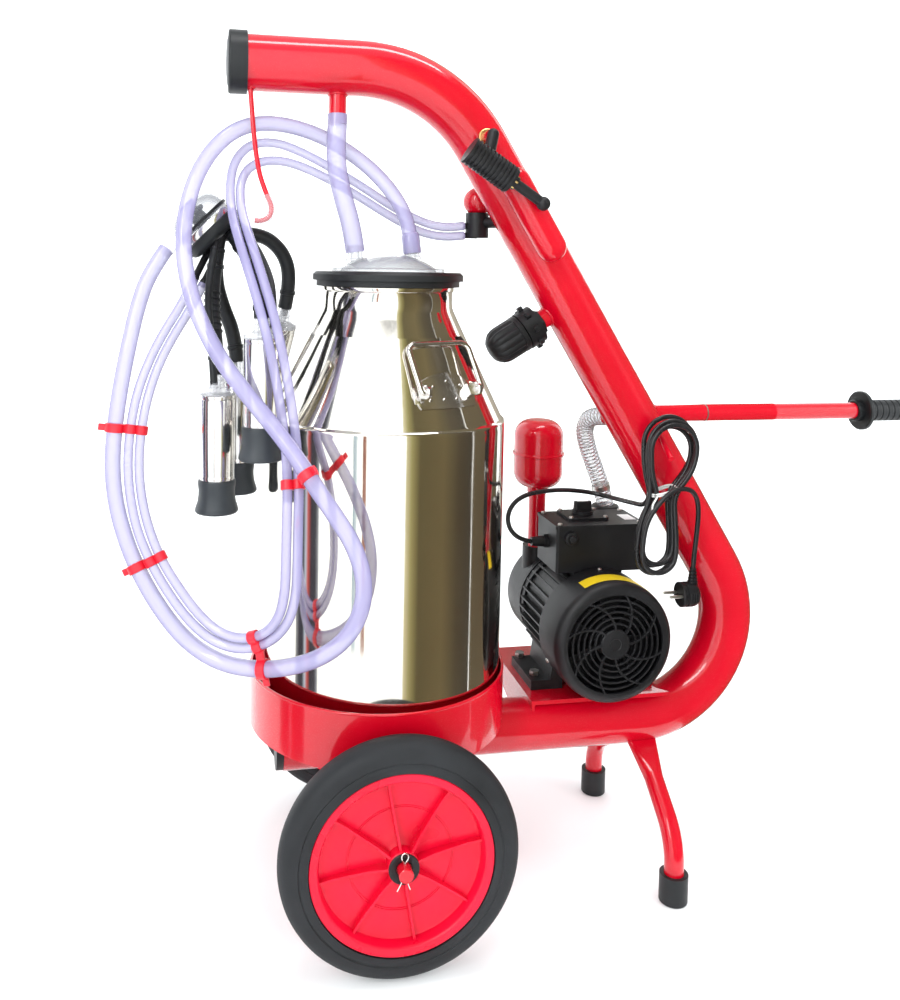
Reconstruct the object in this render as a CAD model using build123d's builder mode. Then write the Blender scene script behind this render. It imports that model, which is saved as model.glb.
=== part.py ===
"""Mobile bucket milking machine.

A bent tube frame that is also the vacuum tank carries the bucket, the pump and the cluster.
Millimetres. +X points to the push handle, -Y to the side with the hooks and pegs, and the floor is Z = 0.
"""

import math
import os

from build123d import *

os.makedirs("parts", exist_ok=True)

# ---------------------------------------------------------------- driving dimensions
TUBE_OD = 76.0  # main tube, vacuum tank
TUBE_WALL = 3.0
ARM_Z = 1140.0  # centre line of the upper arm
ARM_END_X = -497.0
ARM_CORNER_X = -215.0  # where the arm's and the diagonal's centre lines meet
LOWER_CORNER_X = 365.0
LOWER_END_X = -427.0
UPPER_BEND_R = 205.0
LOWER_BEND_R = 150.0

WHEEL_R = 150.0
WHEEL_Y = 213.0
TYRE_W = 47.0
RIM_R = 111.0
HUB_R = 19.0
HUB_LENGTH = 50.0
AXLE_R = 9.0
AXLE_X = -299.0

BUCKET_X = -285.0
BUCKET_R = 166.0
BUCKET_WALL = 1.5
SHOULDER_Z = 661.0
NECK_BASE_Z = 815.0
NECK_R = 90.0
RIM_TOP_Z = 842.0
TRAY_X = -293.0
TRAY_R = 180.0
TRAY_TOP_Z = 310.0
SHEET = 3.0  # tray and bracket sheet

LEG_R = 13.5
LEG_X = 103.0
LEG_Y = 141.0
LEG_TOP_X = 106.0
FOOT_R = 19.5
FOOT_H = 40.0
FOOT_FLOOR = 6.0

MOTOR_X = 41.0
MOTOR_Z = 336.0
COVER_R = 89.0
COVER_FACE_Y = -68.0
FRAME_FRONT_Y = 6.0
FRAME_BACK_Y = 112.0
FRAME_R = 74.0
FIN_R = 84.0
STATOR_BORE_R = 43.0
SHAFT_R = 12.0
PLATE_T = 6.0
FOOT_SPREAD = 84.0  # foot bolts each side of the motor axis
FOOT_BOLT_Y = (36.0, 106.0)
BOX_X = (-22.0, 118.0)
BOX_Y = (10.0, 96.0)
BOX_TOP_Z = 484.0
LID_T = 5.0
KNOB_X = 38.0
KNOB_Y = 62.0
BUTTON_X = 0.0
BUTTON_Z = 470.0
GLAND_Z = 456.0
GLAND_Y = 50.0

PUMP_BACK_Y = 190.0
PUMP_R = 80.0
PUMP_BORE_R = 48.0
PUMP_OFFSET = 6.0  # rotor sits this much above the bore's centre
PORT_Y = 148.0
EXHAUST_X = -5.0
SUCTION_X = 113.0
SUCTION_TOP_Z = 484.0
SILENCER_R = 39.0
SILENCER_Z = (517.0, 627.0)

HANDLE_Z = 658.0
HANDLE_R = 12.5
HANDLE_WALL = 2.0
SEAM_X = 202.0
SPIGOT = 80.0
GRIP_R = 16.5
GRIP_FLANGE_R = 30.0
GRIP_START_X = 452.0
GRIP_END_X = 594.0

HOSE_MILK = 21.0
HOSE_VACUUM = 27.0
HOSE_PULSE = 12.5
HOSE_SUCTION = 28.0
TUBE_SHORT_MILK = 20.0
TUBE_SHORT_PULSE = 10.0
CORD = 7.0

CUP_R = 23.0
CUP_LENGTH = 114.0
MOUTH_R = 28.5
MOUTH_LENGTH = 43.0
MOUTH_BORE_R = 11.0
ADAPTOR_LENGTH = 26.0

# clearances
RUN_GAP = 0.05  # radial, for shafts, spindles and pins that turn or slide
FACE_GAP = 0.4  # between faces of parts that move past each other
BOLT_GAP = 0.3  # radial, round bolts and the axle end in its washers

# ---------------------------------------------------------------- derived places
TUBE_R = TUBE_OD / 2
AXLE_Z = WHEEL_R
LOWER_Z = AXLE_Z + AXLE_R + TUBE_R
TRAY_FLOOR_Z = LOWER_Z + TUBE_R
BUCKET_FLOOR_Z = TRAY_FLOOR_Z + SHEET
PLATE_TOP_Z = TRAY_FLOOR_Z + PLATE_T
ARM_CORNER = Vector(ARM_CORNER_X, 0, ARM_Z)
LOWER_CORNER = Vector(LOWER_CORNER_X, 0, LOWER_Z)
DOWN_TUBE = (LOWER_CORNER - ARM_CORNER).normalized()
BELOW_TUBE = Vector(DOWN_TUBE.Z, 0, -DOWN_TUBE.X)  # square to the diagonal, towards the bucket


def on_diagonal(distance, out=0.0, side=0.0):
    """A point at a distance down the diagonal, out towards the bucket and aside along Y."""
    return ARM_CORNER + DOWN_TUBE * distance + BELOW_TUBE * out + Vector(0, side, 0)


def along(start, end):
    """The plane at start that faces end."""
    return Plane(origin=Vector(*start), z_dir=Vector(*end) - Vector(*start))


def add_rod(start, end, radius, mode=Mode.ADD):
    """Adds a round bar between two points to the current part."""
    with BuildSketch(along(start, end)) as section:
        Circle(radius)
    extrude(section.sketch, amount=(Vector(*end) - Vector(*start)).length, mode=mode)


def facing_y(x, y, z):
    """The plane at a point that faces +Y, with its own x along X."""
    return Plane(origin=(x, y, z), x_dir=(1, 0, 0), z_dir=(0, 1, 0))


def corner_radii(points):
    """The largest bend that each corner's two runs allow."""
    corners = [Vector(*point) for point in points]
    radii = []
    for before, corner, after in zip(corners, corners[1:], corners[2:]):
        run_in = corner - before
        run_out = after - corner
        half_turn = math.radians(run_in.get_angle(run_out)) / 2
        radii.append(0.45 * min(run_in.length, run_out.length) / math.tan(half_turn))
    return radii


def hose(name, points, diameter):
    """A plain tube through a route of straight runs and tangent arcs."""
    radii = corner_radii(points)
    print(name, "bend radii from", round(min(radii)), "to", round(max(radii)))
    with BuildPart() as tube:
        with BuildLine() as route:
            FilletPolyline(*points, radius=radii)
        with BuildSketch(along(points[0], points[1])):
            Circle(diameter / 2)
        sweep(path=route.line)
    length = route.wires()[0].length
    ratio = tube.part.volume / (math.pi * diameter**2 / 4 * length)
    print(name, "length", round(length), "volume over section times length", round(ratio, 3))
    return tube


# ---------------------------------------------------------------- main frame
VACUUM_STUB_X = -359.0
VACUUM_STUB_Z = 1063.0
VACUUM_STUB_R = 12.0
STUB_WALL = 2.5
TRAP_AT = 375.0  # distances down the diagonal
TRAP_STUB_R = 14.0
TRAP_STUB_OUT = 62.0
BRANCH_AT = (180.0, 282.0)
BRANCH_R = 21.0
REGULATOR_AT = 108.0
NIPPLE_R = 8.0
PEG_R = 4.5
PEG_ROOT = (108.0, -36.0, 640.0)
PEG_TIP = (107.0, -86.0, 606.0)
SUCTION_END = (70.0, 56.0, 645.0)
SUCTION_ROOT = on_diagonal((ARM_Z - SUCTION_END[2]) / -DOWN_TUBE.Z)
REGULATOR_SEAT = on_diagonal(REGULATOR_AT, 0, -TUBE_R - 26.0)

with BuildPart() as tube_core:
    with BuildLine() as centre_line:
        FilletPolyline(
            (ARM_END_X, 0, ARM_Z),
            ARM_CORNER,
            LOWER_CORNER,
            (LOWER_END_X, 0, LOWER_Z),
            radius=[UPPER_BEND_R, LOWER_BEND_R],
        )
    with BuildSketch(Plane(origin=(ARM_END_X, 0, ARM_Z), z_dir=(1, 0, 0))):
        Circle(TUBE_R)
    sweep(path=centre_line.line)

with BuildPart() as main_frame:
    add(tube_core.part)
    # welded stubs, branch pipe, peg and handle socket
    vacuum_root = (VACUUM_STUB_X, 0, ARM_Z)
    vacuum_end = (VACUUM_STUB_X, 0, VACUUM_STUB_Z)
    trap_end = on_diagonal(TRAP_AT, TRAP_STUB_OUT)
    handle_root = (ARM_CORNER_X + (ARM_Z - HANDLE_Z) * DOWN_TUBE.X / -DOWN_TUBE.Z, 0, HANDLE_Z)
    handle_mouth = (SEAM_X, 0, HANDLE_Z)
    stubs = (
        (vacuum_root, vacuum_end, VACUUM_STUB_R),
        (on_diagonal(TRAP_AT), trap_end, TRAP_STUB_R),
        (SUCTION_ROOT, SUCTION_END, HOSE_SUCTION / 2 - 1.5),
        (on_diagonal(REGULATOR_AT), REGULATOR_SEAT, NIPPLE_R),
        (handle_root, handle_mouth, HANDLE_R),
    )
    for root, end, radius in stubs:
        add_rod(root, end, radius)
    branch_ends = [on_diagonal(at, 0, -TUBE_R - BRANCH_R + 2) for at in BRANCH_AT]
    add_rod(*branch_ends, BRANCH_R)
    with Locations(*branch_ends):
        Sphere(BRANCH_R)
    add_rod(PEG_ROOT, PEG_TIP, PEG_R)
    # bores: the tank, and each stub through to it
    with BuildSketch(Plane(origin=(ARM_END_X, 0, ARM_Z), z_dir=(1, 0, 0))):
        Circle(TUBE_R - TUBE_WALL)
    sweep(path=centre_line.line, mode=Mode.SUBTRACT)
    for root, end, radius in stubs[:4]:
        add_rod(root, end, radius - STUB_WALL, mode=Mode.SUBTRACT)
    socket_end = (SEAM_X - SPIGOT - 4, 0, HANDLE_Z)
    add_rod(handle_mouth, socket_end, HANDLE_R - HANDLE_WALL, mode=Mode.SUBTRACT)

CAP_R = 42.0
CAP_LENGTH = 21.0
CAP_DOME = 4.0
with BuildPart() as tube_end_caps:
    # a sleeve cap on the arm, a driven plug in the lower run
    sleeve = (ARM_END_X, ARM_Z, CAP_R, TUBE_R, CAP_R)
    driven = (LOWER_END_X, LOWER_Z, TUBE_R - TUBE_WALL, 0, TUBE_R - 1)
    for x, z, outer_r, inner_r, face_r in (sleeve, driven):
        with BuildSketch(Plane(origin=(x, 0, z), z_dir=(-1, 0, 0))):
            Circle(face_r)
        extrude(amount=CAP_DOME + 6)
        with BuildSketch(Plane(origin=(x, 0, z), z_dir=(1, 0, 0))):
            Circle(outer_r)
            if inner_r:
                Circle(inner_r, mode=Mode.SUBTRACT)
        extrude(amount=CAP_LENGTH - 6)
    fillet(tube_end_caps.faces().group_by(Axis.X)[0].edges(), radius=3)

HOOK_R = 4.0
HOOK_ROUTE = [
    (-478, -12, 1108), (-474, -14, 1050), (-467, -17, 995), (-457, -20, 966), (-447, -22, 944),
    (-456, -24, 927), (-472, -24, 928),
]
hook_wire = hose("cup_hook", HOOK_ROUTE, HOOK_R * 2)
with BuildPart() as cup_hook:
    add(hook_wire.part)
    add(tube_core.part, mode=Mode.SUBTRACT)

# ---------------------------------------------------------------- bucket tray
with BuildPart() as bucket_tray:
    with BuildSketch(Plane.XY.offset(TRAY_FLOOR_Z)):
        with Locations((TRAY_X, 0)):
            Circle(TRAY_R)
    extrude(amount=TRAY_TOP_Z - TRAY_FLOOR_Z)
    with BuildSketch(Plane.XY.offset(BUCKET_FLOOR_Z)):
        with Locations((TRAY_X, 0)):
            Circle(TRAY_R - SHEET)
    extrude(amount=TRAY_TOP_Z - BUCKET_FLOOR_Z, mode=Mode.SUBTRACT)

# ---------------------------------------------------------------- axle and wheels
WASHER_T = 3.0
AXLE_END_Y = WHEEL_Y + HUB_LENGTH / 2 + FACE_GAP + WASHER_T + 14.0
PIN_Y = WHEEL_Y + HUB_LENGTH / 2 + FACE_GAP + WASHER_T + 2.5
PIN_R = 1.6
COLLAR_R = 15.0
with BuildPart() as axle:
    add_rod((AXLE_X, -AXLE_END_Y, AXLE_Z), (AXLE_X, AXLE_END_Y, AXLE_Z), AXLE_R)
    chamfer(axle.edges(), length=1)
    for side in (-1, 1):
        collar_end = side * (WHEEL_Y - HUB_LENGTH / 2 - FACE_GAP)
        add_rod((AXLE_X, collar_end - side * 7, AXLE_Z), (AXLE_X, collar_end, AXLE_Z), COLLAR_R)
        pin_low = (AXLE_X, side * PIN_Y, AXLE_Z - AXLE_R - 1)
        pin_high = (AXLE_X, side * PIN_Y, AXLE_Z + AXLE_R + 1)
        add_rod(pin_low, pin_high, PIN_R, mode=Mode.SUBTRACT)
    with Locations((AXLE_X, 0, AXLE_Z + AXLE_R)):
        Box(40, 60, 24)
    add_rod((AXLE_X - 30, 0, LOWER_Z), (AXLE_X + 30, 0, LOWER_Z), TUBE_R, mode=Mode.SUBTRACT)

LIP_R = RIM_R + 3
LIP_T = 3.0
BARREL_HALF = 19.0
WEB_T = 4.0
RIB_COUNT = 8


def wheel_rim(side):
    """Dished plastic rim with eight ribs; side is -1 near and 1 far."""
    with BuildPart() as rim:
        with BuildSketch(Plane(origin=(AXLE_X, side * WHEEL_Y, AXLE_Z))):
            with Locations((AXLE_R + RUN_GAP, -HUB_LENGTH / 2)):
                Rectangle(HUB_R - AXLE_R - RUN_GAP, HUB_LENGTH, align=(Align.MIN, Align.MIN))
            with Locations((HUB_R - 1, -WEB_T / 2)):
                Rectangle(RIM_R - HUB_R - 4, WEB_T, align=(Align.MIN, Align.MIN))
            with Locations((RIM_R - 6, -BARREL_HALF - LIP_T)):
                Rectangle(6, 2 * (BARREL_HALF + LIP_T), align=(Align.MIN, Align.MIN))
            for lip_y in (-BARREL_HALF - LIP_T, BARREL_HALF):
                with Locations((RIM_R - 1, lip_y)):
                    Rectangle(LIP_R - RIM_R + 1, LIP_T, align=(Align.MIN, Align.MIN))
        revolve(axis=Axis((AXLE_X, 0, AXLE_Z), (0, 1, 0)))
        with BuildSketch(facing_y(AXLE_X, side * WHEEL_Y - 9, AXLE_Z)):
            with PolarLocations((HUB_R + RIM_R - 6) / 2, RIB_COUNT, start_angle=10):
                Rectangle(RIM_R - HUB_R - 2, 4)
        extrude(amount=18)
    return rim


def wheel_tyre(side):
    """Solid rubber tyre with a rounded tread."""
    with BuildPart() as tyre:
        with BuildSketch(Plane(origin=(AXLE_X, side * WHEEL_Y, AXLE_Z))):
            with BuildLine():
                Polyline(
                    (WHEEL_R - 14, -TYRE_W / 2),
                    (LIP_R + 1, -TYRE_W / 2),
                    (LIP_R + 1, -BARREL_HALF),
                    (RIM_R, -BARREL_HALF),
                    (RIM_R, BARREL_HALF),
                    (LIP_R + 1, BARREL_HALF),
                    (LIP_R + 1, TYRE_W / 2),
                    (WHEEL_R - 14, TYRE_W / 2),
                )
                ThreePointArc((WHEEL_R - 14, TYRE_W / 2), (WHEEL_R, 0), (WHEEL_R - 14, -TYRE_W / 2))
            make_face()
        revolve(axis=Axis((AXLE_X, 0, AXLE_Z), (0, 1, 0)))
    return tyre


rim_near = wheel_rim(-1)
rim_far = wheel_rim(1)
tyre_near = wheel_tyre(-1)
tyre_far = wheel_tyre(1)

with BuildPart() as wheel_retainers:
    for side in (-1, 1):
        washer_y = side * (WHEEL_Y + HUB_LENGTH / 2 + FACE_GAP)
        with BuildSketch(Plane(origin=(AXLE_X, washer_y, AXLE_Z), z_dir=(0, side, 0))):
            Circle(HUB_R)
            Circle(AXLE_R + BOLT_GAP, mode=Mode.SUBTRACT)
        extrude(amount=WASHER_T)
        pin_low = (AXLE_X, side * (PIN_Y + 0.2), AXLE_Z - AXLE_R - 9)
        pin_high = (AXLE_X, side * (PIN_Y + 0.2), AXLE_Z + AXLE_R + 5)
        add_rod(pin_low, pin_high, PIN_R - 0.25)

# ---------------------------------------------------------------- legs
LEG_FLAT = 8.0
LEG_FLAT_W = 46.0
LEG_TOP_Y = 20.0
LEG_TOP_Z = 173.0
LEG_KNEE_Z = 84.0
LEG_KNEE_R = 70.0
NECK_AT = 0.42  # share of the sloping run that is flattened


def leg(side):
    """A tube leg whose top end is pressed flat and welded under the main tube."""
    top = Vector(LEG_TOP_X, side * LEG_TOP_Y, LEG_TOP_Z)
    knee = Vector(LEG_X, side * LEG_Y, LEG_KNEE_Z)
    neck = top + (knee - top) * NECK_AT
    foot = Vector(LEG_X, side * LEG_Y, FOOT_FLOOR)
    run = knee - top
    with BuildPart() as piece:
        with BuildSketch(Plane(origin=top, x_dir=(1, 0, 0), z_dir=run)):
            RectangleRounded(LEG_FLAT_W, LEG_FLAT, LEG_FLAT / 2 - 0.5)
        with BuildSketch(Plane(origin=neck, x_dir=(1, 0, 0), z_dir=run)):
            RectangleRounded(2 * LEG_R - 0.6, 2 * LEG_R - 0.6, LEG_R - 0.5)
        loft()
        round_start = neck - run.normalized() * 6
        with BuildLine() as centre:
            FilletPolyline(round_start, knee, foot, radius=LEG_KNEE_R)
        with BuildSketch(Plane(origin=round_start, z_dir=run)):
            Circle(LEG_R)
        sweep(path=centre.line)
        add(tube_core.part, mode=Mode.SUBTRACT)
    return piece


with BuildPart() as legs:
    add(leg(-1).part)
    add(leg(1).part)

with BuildPart() as foot_caps:
    for side in (-1, 1):
        with BuildSketch():
            with Locations((LEG_X, side * LEG_Y)):
                Circle(FOOT_R)
        extrude(amount=FOOT_H)
        with BuildSketch(Plane.XY.offset(FOOT_FLOOR)):
            with Locations((LEG_X, side * LEG_Y)):
                Circle(LEG_R)
        extrude(amount=FOOT_H, mode=Mode.SUBTRACT)
    fillet(foot_caps.faces().group_by(Axis.Z)[0].edges(), radius=3)

# ---------------------------------------------------------------- motor plate
PLATE_X = (-67.0, 149.0)
PLATE_Y = (-24.0, 176.0)
BOLT_R = 4.2
BOLT_PLACES = [(MOTOR_X + side * FOOT_SPREAD, y) for side in (-1, 1) for y in FOOT_BOLT_Y]
with BuildPart() as motor_plate:
    with Locations(((PLATE_X[0] + PLATE_X[1]) / 2, (PLATE_Y[0] + PLATE_Y[1]) / 2, TRAY_FLOOR_Z)):
        Box(PLATE_X[1] - PLATE_X[0], PLATE_Y[1] - PLATE_Y[0], PLATE_T,
            align=(Align.CENTER, Align.CENTER, Align.MIN))
    # folded gussets down to the tube
    for x in (PLATE_X[0], PLATE_X[1] - 5):
        with BuildSketch(Plane(origin=(x, 0, 0), x_dir=(0, 1, 0), z_dir=(1, 0, 0))):
            Polygon(
                (PLATE_Y[0], TRAY_FLOOR_Z),
                (PLATE_Y[1], TRAY_FLOOR_Z),
                (PLATE_Y[1], TRAY_FLOOR_Z - 12),
                (TUBE_R, LOWER_Z - 18),
                (20, LOWER_Z),
                (PLATE_Y[0], TRAY_FLOOR_Z - 20),
                align=None,
            )
        extrude(amount=5)
    with Locations(*[(x, y, PLATE_TOP_Z) for x, y in BOLT_PLACES]):
        Hole(BOLT_R + BOLT_GAP, depth=PLATE_T)
    add(tube_core.part, mode=Mode.SUBTRACT)

# ---------------------------------------------------------------- motor
FIN_COUNT = 36
FOOT_T = 14.0
SEAT_Z = MOTOR_Z + FRAME_R + 8
FIN_T = 2.6
with BuildPart() as motor_frame:
    with BuildSketch(facing_y(MOTOR_X, FRAME_FRONT_Y, MOTOR_Z)):
        Circle(FRAME_R)
        with PolarLocations((FRAME_R + FIN_R) / 2 - 1, FIN_COUNT):
            Rectangle(FIN_R - FRAME_R + 2, FIN_T)
    extrude(amount=FRAME_BACK_Y - FRAME_FRONT_Y)
    # cast feet
    foot_drop = MOTOR_Z - PLATE_TOP_Z
    for side in (-1, 1):
        with BuildSketch(facing_y(MOTOR_X, FRAME_FRONT_Y + 6, MOTOR_Z)):
            Polygon(
                (side * 48, 46),
                (side * 62, 46),
                (side * 67, foot_drop - FOOT_T),
                (side * (FOOT_SPREAD + 13), foot_drop - FOOT_T),
                (side * (FOOT_SPREAD + 13), foot_drop),
                (side * 48, foot_drop),
                align=None,
            )
        extrude(amount=FRAME_BACK_Y - FRAME_FRONT_Y - 12)
    with BuildSketch(facing_y(MOTOR_X, FRAME_FRONT_Y - 1, MOTOR_Z)):
        Circle(FRAME_R - 5)
    extrude(amount=FRAME_BACK_Y - FRAME_FRONT_Y + 2, mode=Mode.SUBTRACT)
    with Locations(*[(x, y, PLATE_TOP_Z) for x, y in BOLT_PLACES]):
        Cylinder(BOLT_R + BOLT_GAP, 3 * FOOT_T, mode=Mode.SUBTRACT)
    # flat seat for the terminal box
    box_middle_x = (BOX_X[0] + BOX_X[1]) / 2
    with Locations((box_middle_x, FRAME_FRONT_Y + 48, MOTOR_Z + FRAME_R - 4)):
        Box(76, 70, SEAT_Z - MOTOR_Z - FRAME_R + 4, align=(Align.CENTER, Align.CENTER, Align.MIN))
    with Locations((box_middle_x, FRAME_FRONT_Y + 48, SEAT_Z)):
        Box(160, 140, 20, align=(Align.CENTER, Align.CENTER, Align.MIN), mode=Mode.SUBTRACT)

COVER_T = 2.0
BEARING_OD_R = 26.0
BEARING_W = 15.0
SHIELD_T = 12.0
with BuildPart() as end_shields:
    for y0, shield_r in ((FRAME_FRONT_Y - SHIELD_T, COVER_R - COVER_T), (FRAME_BACK_Y, FRAME_R + 4)):
        with BuildSketch(facing_y(MOTOR_X, y0, MOTOR_Z)):
            Circle(shield_r)
            Circle(SHAFT_R + 1, mode=Mode.SUBTRACT)
        extrude(amount=SHIELD_T)
    # bearing housings reach inside the frame
    for y0, y1 in ((FRAME_FRONT_Y, FRAME_FRONT_Y + 10), (FRAME_BACK_Y - 10, FRAME_BACK_Y)):
        with BuildSketch(facing_y(MOTOR_X, y0, MOTOR_Z)):
            Circle(BEARING_OD_R + 6)
            Circle(BEARING_OD_R, mode=Mode.SUBTRACT)
        extrude(amount=y1 - y0)
    for y0 in (FRAME_FRONT_Y - 5, FRAME_BACK_Y - 10):
        with BuildSketch(facing_y(MOTOR_X, y0, MOTOR_Z)):
            Circle(BEARING_OD_R)
        extrude(amount=BEARING_W, mode=Mode.SUBTRACT)

with BuildPart() as bearings:
    for y0 in (FRAME_FRONT_Y - 5, FRAME_BACK_Y - 10):
        with BuildSketch(facing_y(MOTOR_X, y0, MOTOR_Z)):
            Circle(BEARING_OD_R)
            Circle(SHAFT_R + RUN_GAP, mode=Mode.SUBTRACT)
        extrude(amount=BEARING_W)

STACK_Y = (24.0, 94.0)
AIR_GAP = 0.5
with BuildPart() as stator_core:
    with BuildSketch(facing_y(MOTOR_X, STACK_Y[0], MOTOR_Z)):
        Circle(FRAME_R - 5)
        Circle(STATOR_BORE_R, mode=Mode.SUBTRACT)
    extrude(amount=STACK_Y[1] - STACK_Y[0])

FAN_R = 76.0
FAN_Y = (-44.0, -12.0)
ROTOR_Y = (FRAME_BACK_Y + SHIELD_T + 10.0, FRAME_BACK_Y + SHIELD_T + 50.0)
with BuildPart() as motor_rotor:
    add_rod((MOTOR_X, FAN_Y[0] - 2, MOTOR_Z), (MOTOR_X, ROTOR_Y[1], MOTOR_Z), SHAFT_R)
    add_rod((MOTOR_X, STACK_Y[0], MOTOR_Z), (MOTOR_X, STACK_Y[1], MOTOR_Z), STATOR_BORE_R - AIR_GAP)

with BuildPart() as cooling_fan:
    with BuildSketch(facing_y(MOTOR_X, FAN_Y[0], MOTOR_Z)):
        Circle(24)
    extrude(amount=FAN_Y[1] - FAN_Y[0])
    with BuildSketch(facing_y(MOTOR_X, FAN_Y[1] - 3, MOTOR_Z)):
        Circle(FAN_R)
    extrude(amount=3)
    with BuildSketch(facing_y(MOTOR_X, FAN_Y[0] + 4, MOTOR_Z)):
        with PolarLocations((FAN_R + 22) / 2, 7):
            Rectangle(FAN_R - 24, 3)
    extrude(amount=FAN_Y[1] - FAN_Y[0] - 4)
    with BuildSketch(facing_y(MOTOR_X, FAN_Y[0] - 1, MOTOR_Z)):
        Circle(SHAFT_R)
    extrude(amount=FAN_Y[1] - FAN_Y[0] + 2, mode=Mode.SUBTRACT)

GRILLE_R = 72.0
SPOKES = 8
with BuildPart() as fan_cover:
    with BuildSketch(facing_y(MOTOR_X, COVER_FACE_Y, MOTOR_Z)):
        Circle(COVER_R)
    extrude(amount=FRAME_FRONT_Y - COVER_FACE_Y)
    front_rim = fan_cover.faces().group_by(Axis.Y)[0].edges()
    fillet(front_rim, radius=13)
    with BuildSketch(facing_y(MOTOR_X, COVER_FACE_Y + 13, MOTOR_Z)):
        Circle(COVER_R - COVER_T)
    extrude(amount=FRAME_FRONT_Y - COVER_FACE_Y, mode=Mode.SUBTRACT)
    with BuildSketch(facing_y(MOTOR_X, COVER_FACE_Y + 4, MOTOR_Z)):
        Circle(COVER_R - 15)
    extrude(amount=20, mode=Mode.SUBTRACT)
    # grille: three rings of slots between straight spokes
    with BuildSketch(facing_y(MOTOR_X, COVER_FACE_Y - 1, MOTOR_Z)):
        for inner, outer in ((58, GRILLE_R), (40, 54), (20, 36)):
            Circle(outer)
            Circle(inner, mode=Mode.SUBTRACT)
        with PolarLocations(GRILLE_R / 2, SPOKES):
            Rectangle(GRILLE_R + 10, 7, mode=Mode.SUBTRACT)
    extrude(amount=6, mode=Mode.SUBTRACT)

BOLT_HEAD_R = 7.5
BOLT_HEAD_T = 6.0
BOLT_TAIL = 8.0  # reach below the plate
with BuildPart() as frame_bolts:
    head_z = PLATE_TOP_Z + FOOT_T
    for x, y in BOLT_PLACES:
        with BuildSketch(Plane.XY.offset(head_z)):
            with Locations((x, y)):
                RegularPolygon(BOLT_HEAD_R, 6)
        extrude(amount=BOLT_HEAD_T)
        add_rod((x, y, PLATE_TOP_Z - PLATE_T - BOLT_TAIL), (x, y, head_z), BOLT_R)

# ---------------------------------------------------------------- terminal box
BOX_WALL = 3.0
KNOB_R = 16.0
SPINDLE_R = 4.0
BUTTON_R = 6.0
BUTTON_TRAVEL = 3.0
GLAND_R = 9.0
GLAND_LENGTH = 26.0
BOX_BOTTOM_Z = SEAT_Z
GLAND_FACE_X = BOX_X[0]
with BuildPart() as terminal_box:
    box_size = (BOX_X[1] - BOX_X[0], BOX_Y[1] - BOX_Y[0])
    box_centre = ((BOX_X[0] + BOX_X[1]) / 2, (BOX_Y[0] + BOX_Y[1]) / 2)
    with BuildSketch(Plane.XY.offset(BOX_BOTTOM_Z)):
        with Locations(box_centre):
            RectangleRounded(*box_size, 4)
    extrude(amount=BOX_TOP_Z - BOX_BOTTOM_Z)
    with BuildSketch(Plane.XY.offset(BOX_BOTTOM_Z + BOX_WALL)):
        with Locations(box_centre):
            RectangleRounded(box_size[0] - 2 * BOX_WALL, box_size[1] - 2 * BOX_WALL, 2)
    extrude(amount=BOX_TOP_Z - BOX_BOTTOM_Z, mode=Mode.SUBTRACT)
    add_rod((BUTTON_X, BOX_Y[0] + 1, BUTTON_Z), (BUTTON_X, BOX_Y[0] - 6, BUTTON_Z), BUTTON_R + 4)
    button_bore_end = (BUTTON_X, BOX_Y[0] + BOX_WALL + 1, BUTTON_Z)
    add_rod((BUTTON_X, BOX_Y[0] - 7, BUTTON_Z), button_bore_end, BUTTON_R + RUN_GAP, mode=Mode.SUBTRACT)
    gland_hole = (GLAND_FACE_X + BOX_WALL + 1, GLAND_Y, GLAND_Z)
    add_rod(gland_hole, (GLAND_FACE_X - 1, GLAND_Y, GLAND_Z), GLAND_R - 3, mode=Mode.SUBTRACT)

with BuildPart() as terminal_lid:
    with BuildSketch(Plane.XY.offset(BOX_TOP_Z)):
        with Locations(box_centre):
            RectangleRounded(box_size[0] + 3, box_size[1] + 3, 5)
    extrude(amount=LID_T)
    with BuildSketch(Plane.XY.offset(BOX_TOP_Z + LID_T)):
        with Locations((KNOB_X, KNOB_Y)):
            RectangleRounded(64, 56, 3)
    extrude(amount=4)
    with Locations((KNOB_X, KNOB_Y, BOX_TOP_Z)):
        Cylinder(SPINDLE_R + RUN_GAP, 60, mode=Mode.SUBTRACT)
SWITCH_FACE_Z = BOX_TOP_Z + LID_T + 4

with BuildPart() as switch_knob:
    with BuildSketch(Plane.XY.offset(SWITCH_FACE_Z + FACE_GAP)):
        with Locations((KNOB_X, KNOB_Y)):
            Circle(KNOB_R)
    extrude(amount=5)
    with BuildSketch(Plane.XY.offset(SWITCH_FACE_Z + FACE_GAP + 5)):
        with Locations((KNOB_X, KNOB_Y)):
            RectangleRounded(2 * KNOB_R - 3, 11, 4)
    extrude(amount=14, taper=4)
    add_rod((KNOB_X, KNOB_Y, BOX_TOP_Z - 8), (KNOB_X, KNOB_Y, SWITCH_FACE_Z + FACE_GAP), SPINDLE_R)

with BuildPart() as reset_button:
    button_tip_y = BOX_Y[0] - 6 - BUTTON_TRAVEL - 1
    add_rod((BUTTON_X, button_tip_y, BUTTON_Z), (BUTTON_X, BOX_Y[0] + BOX_WALL + 4, BUTTON_Z), BUTTON_R)
    fillet(reset_button.faces().group_by(Axis.Y)[0].edges(), radius=1.5)

with BuildPart() as cable_gland:
    with BuildSketch(Plane(origin=(GLAND_FACE_X, GLAND_Y, GLAND_Z), z_dir=(-1, 0, 0))):
        RegularPolygon(GLAND_R + 1.5, 6)
    extrude(amount=7)
    with BuildSketch(Plane(origin=(GLAND_FACE_X - 7, GLAND_Y, GLAND_Z), z_dir=(-1, 0, 0))):
        Circle(GLAND_R - 0.5)
    extrude(amount=GLAND_LENGTH - 7, taper=6)
    add_rod((GLAND_FACE_X + 9, GLAND_Y, GLAND_Z), (GLAND_FACE_X, GLAND_Y, GLAND_Z), GLAND_R - 3.1)

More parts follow.
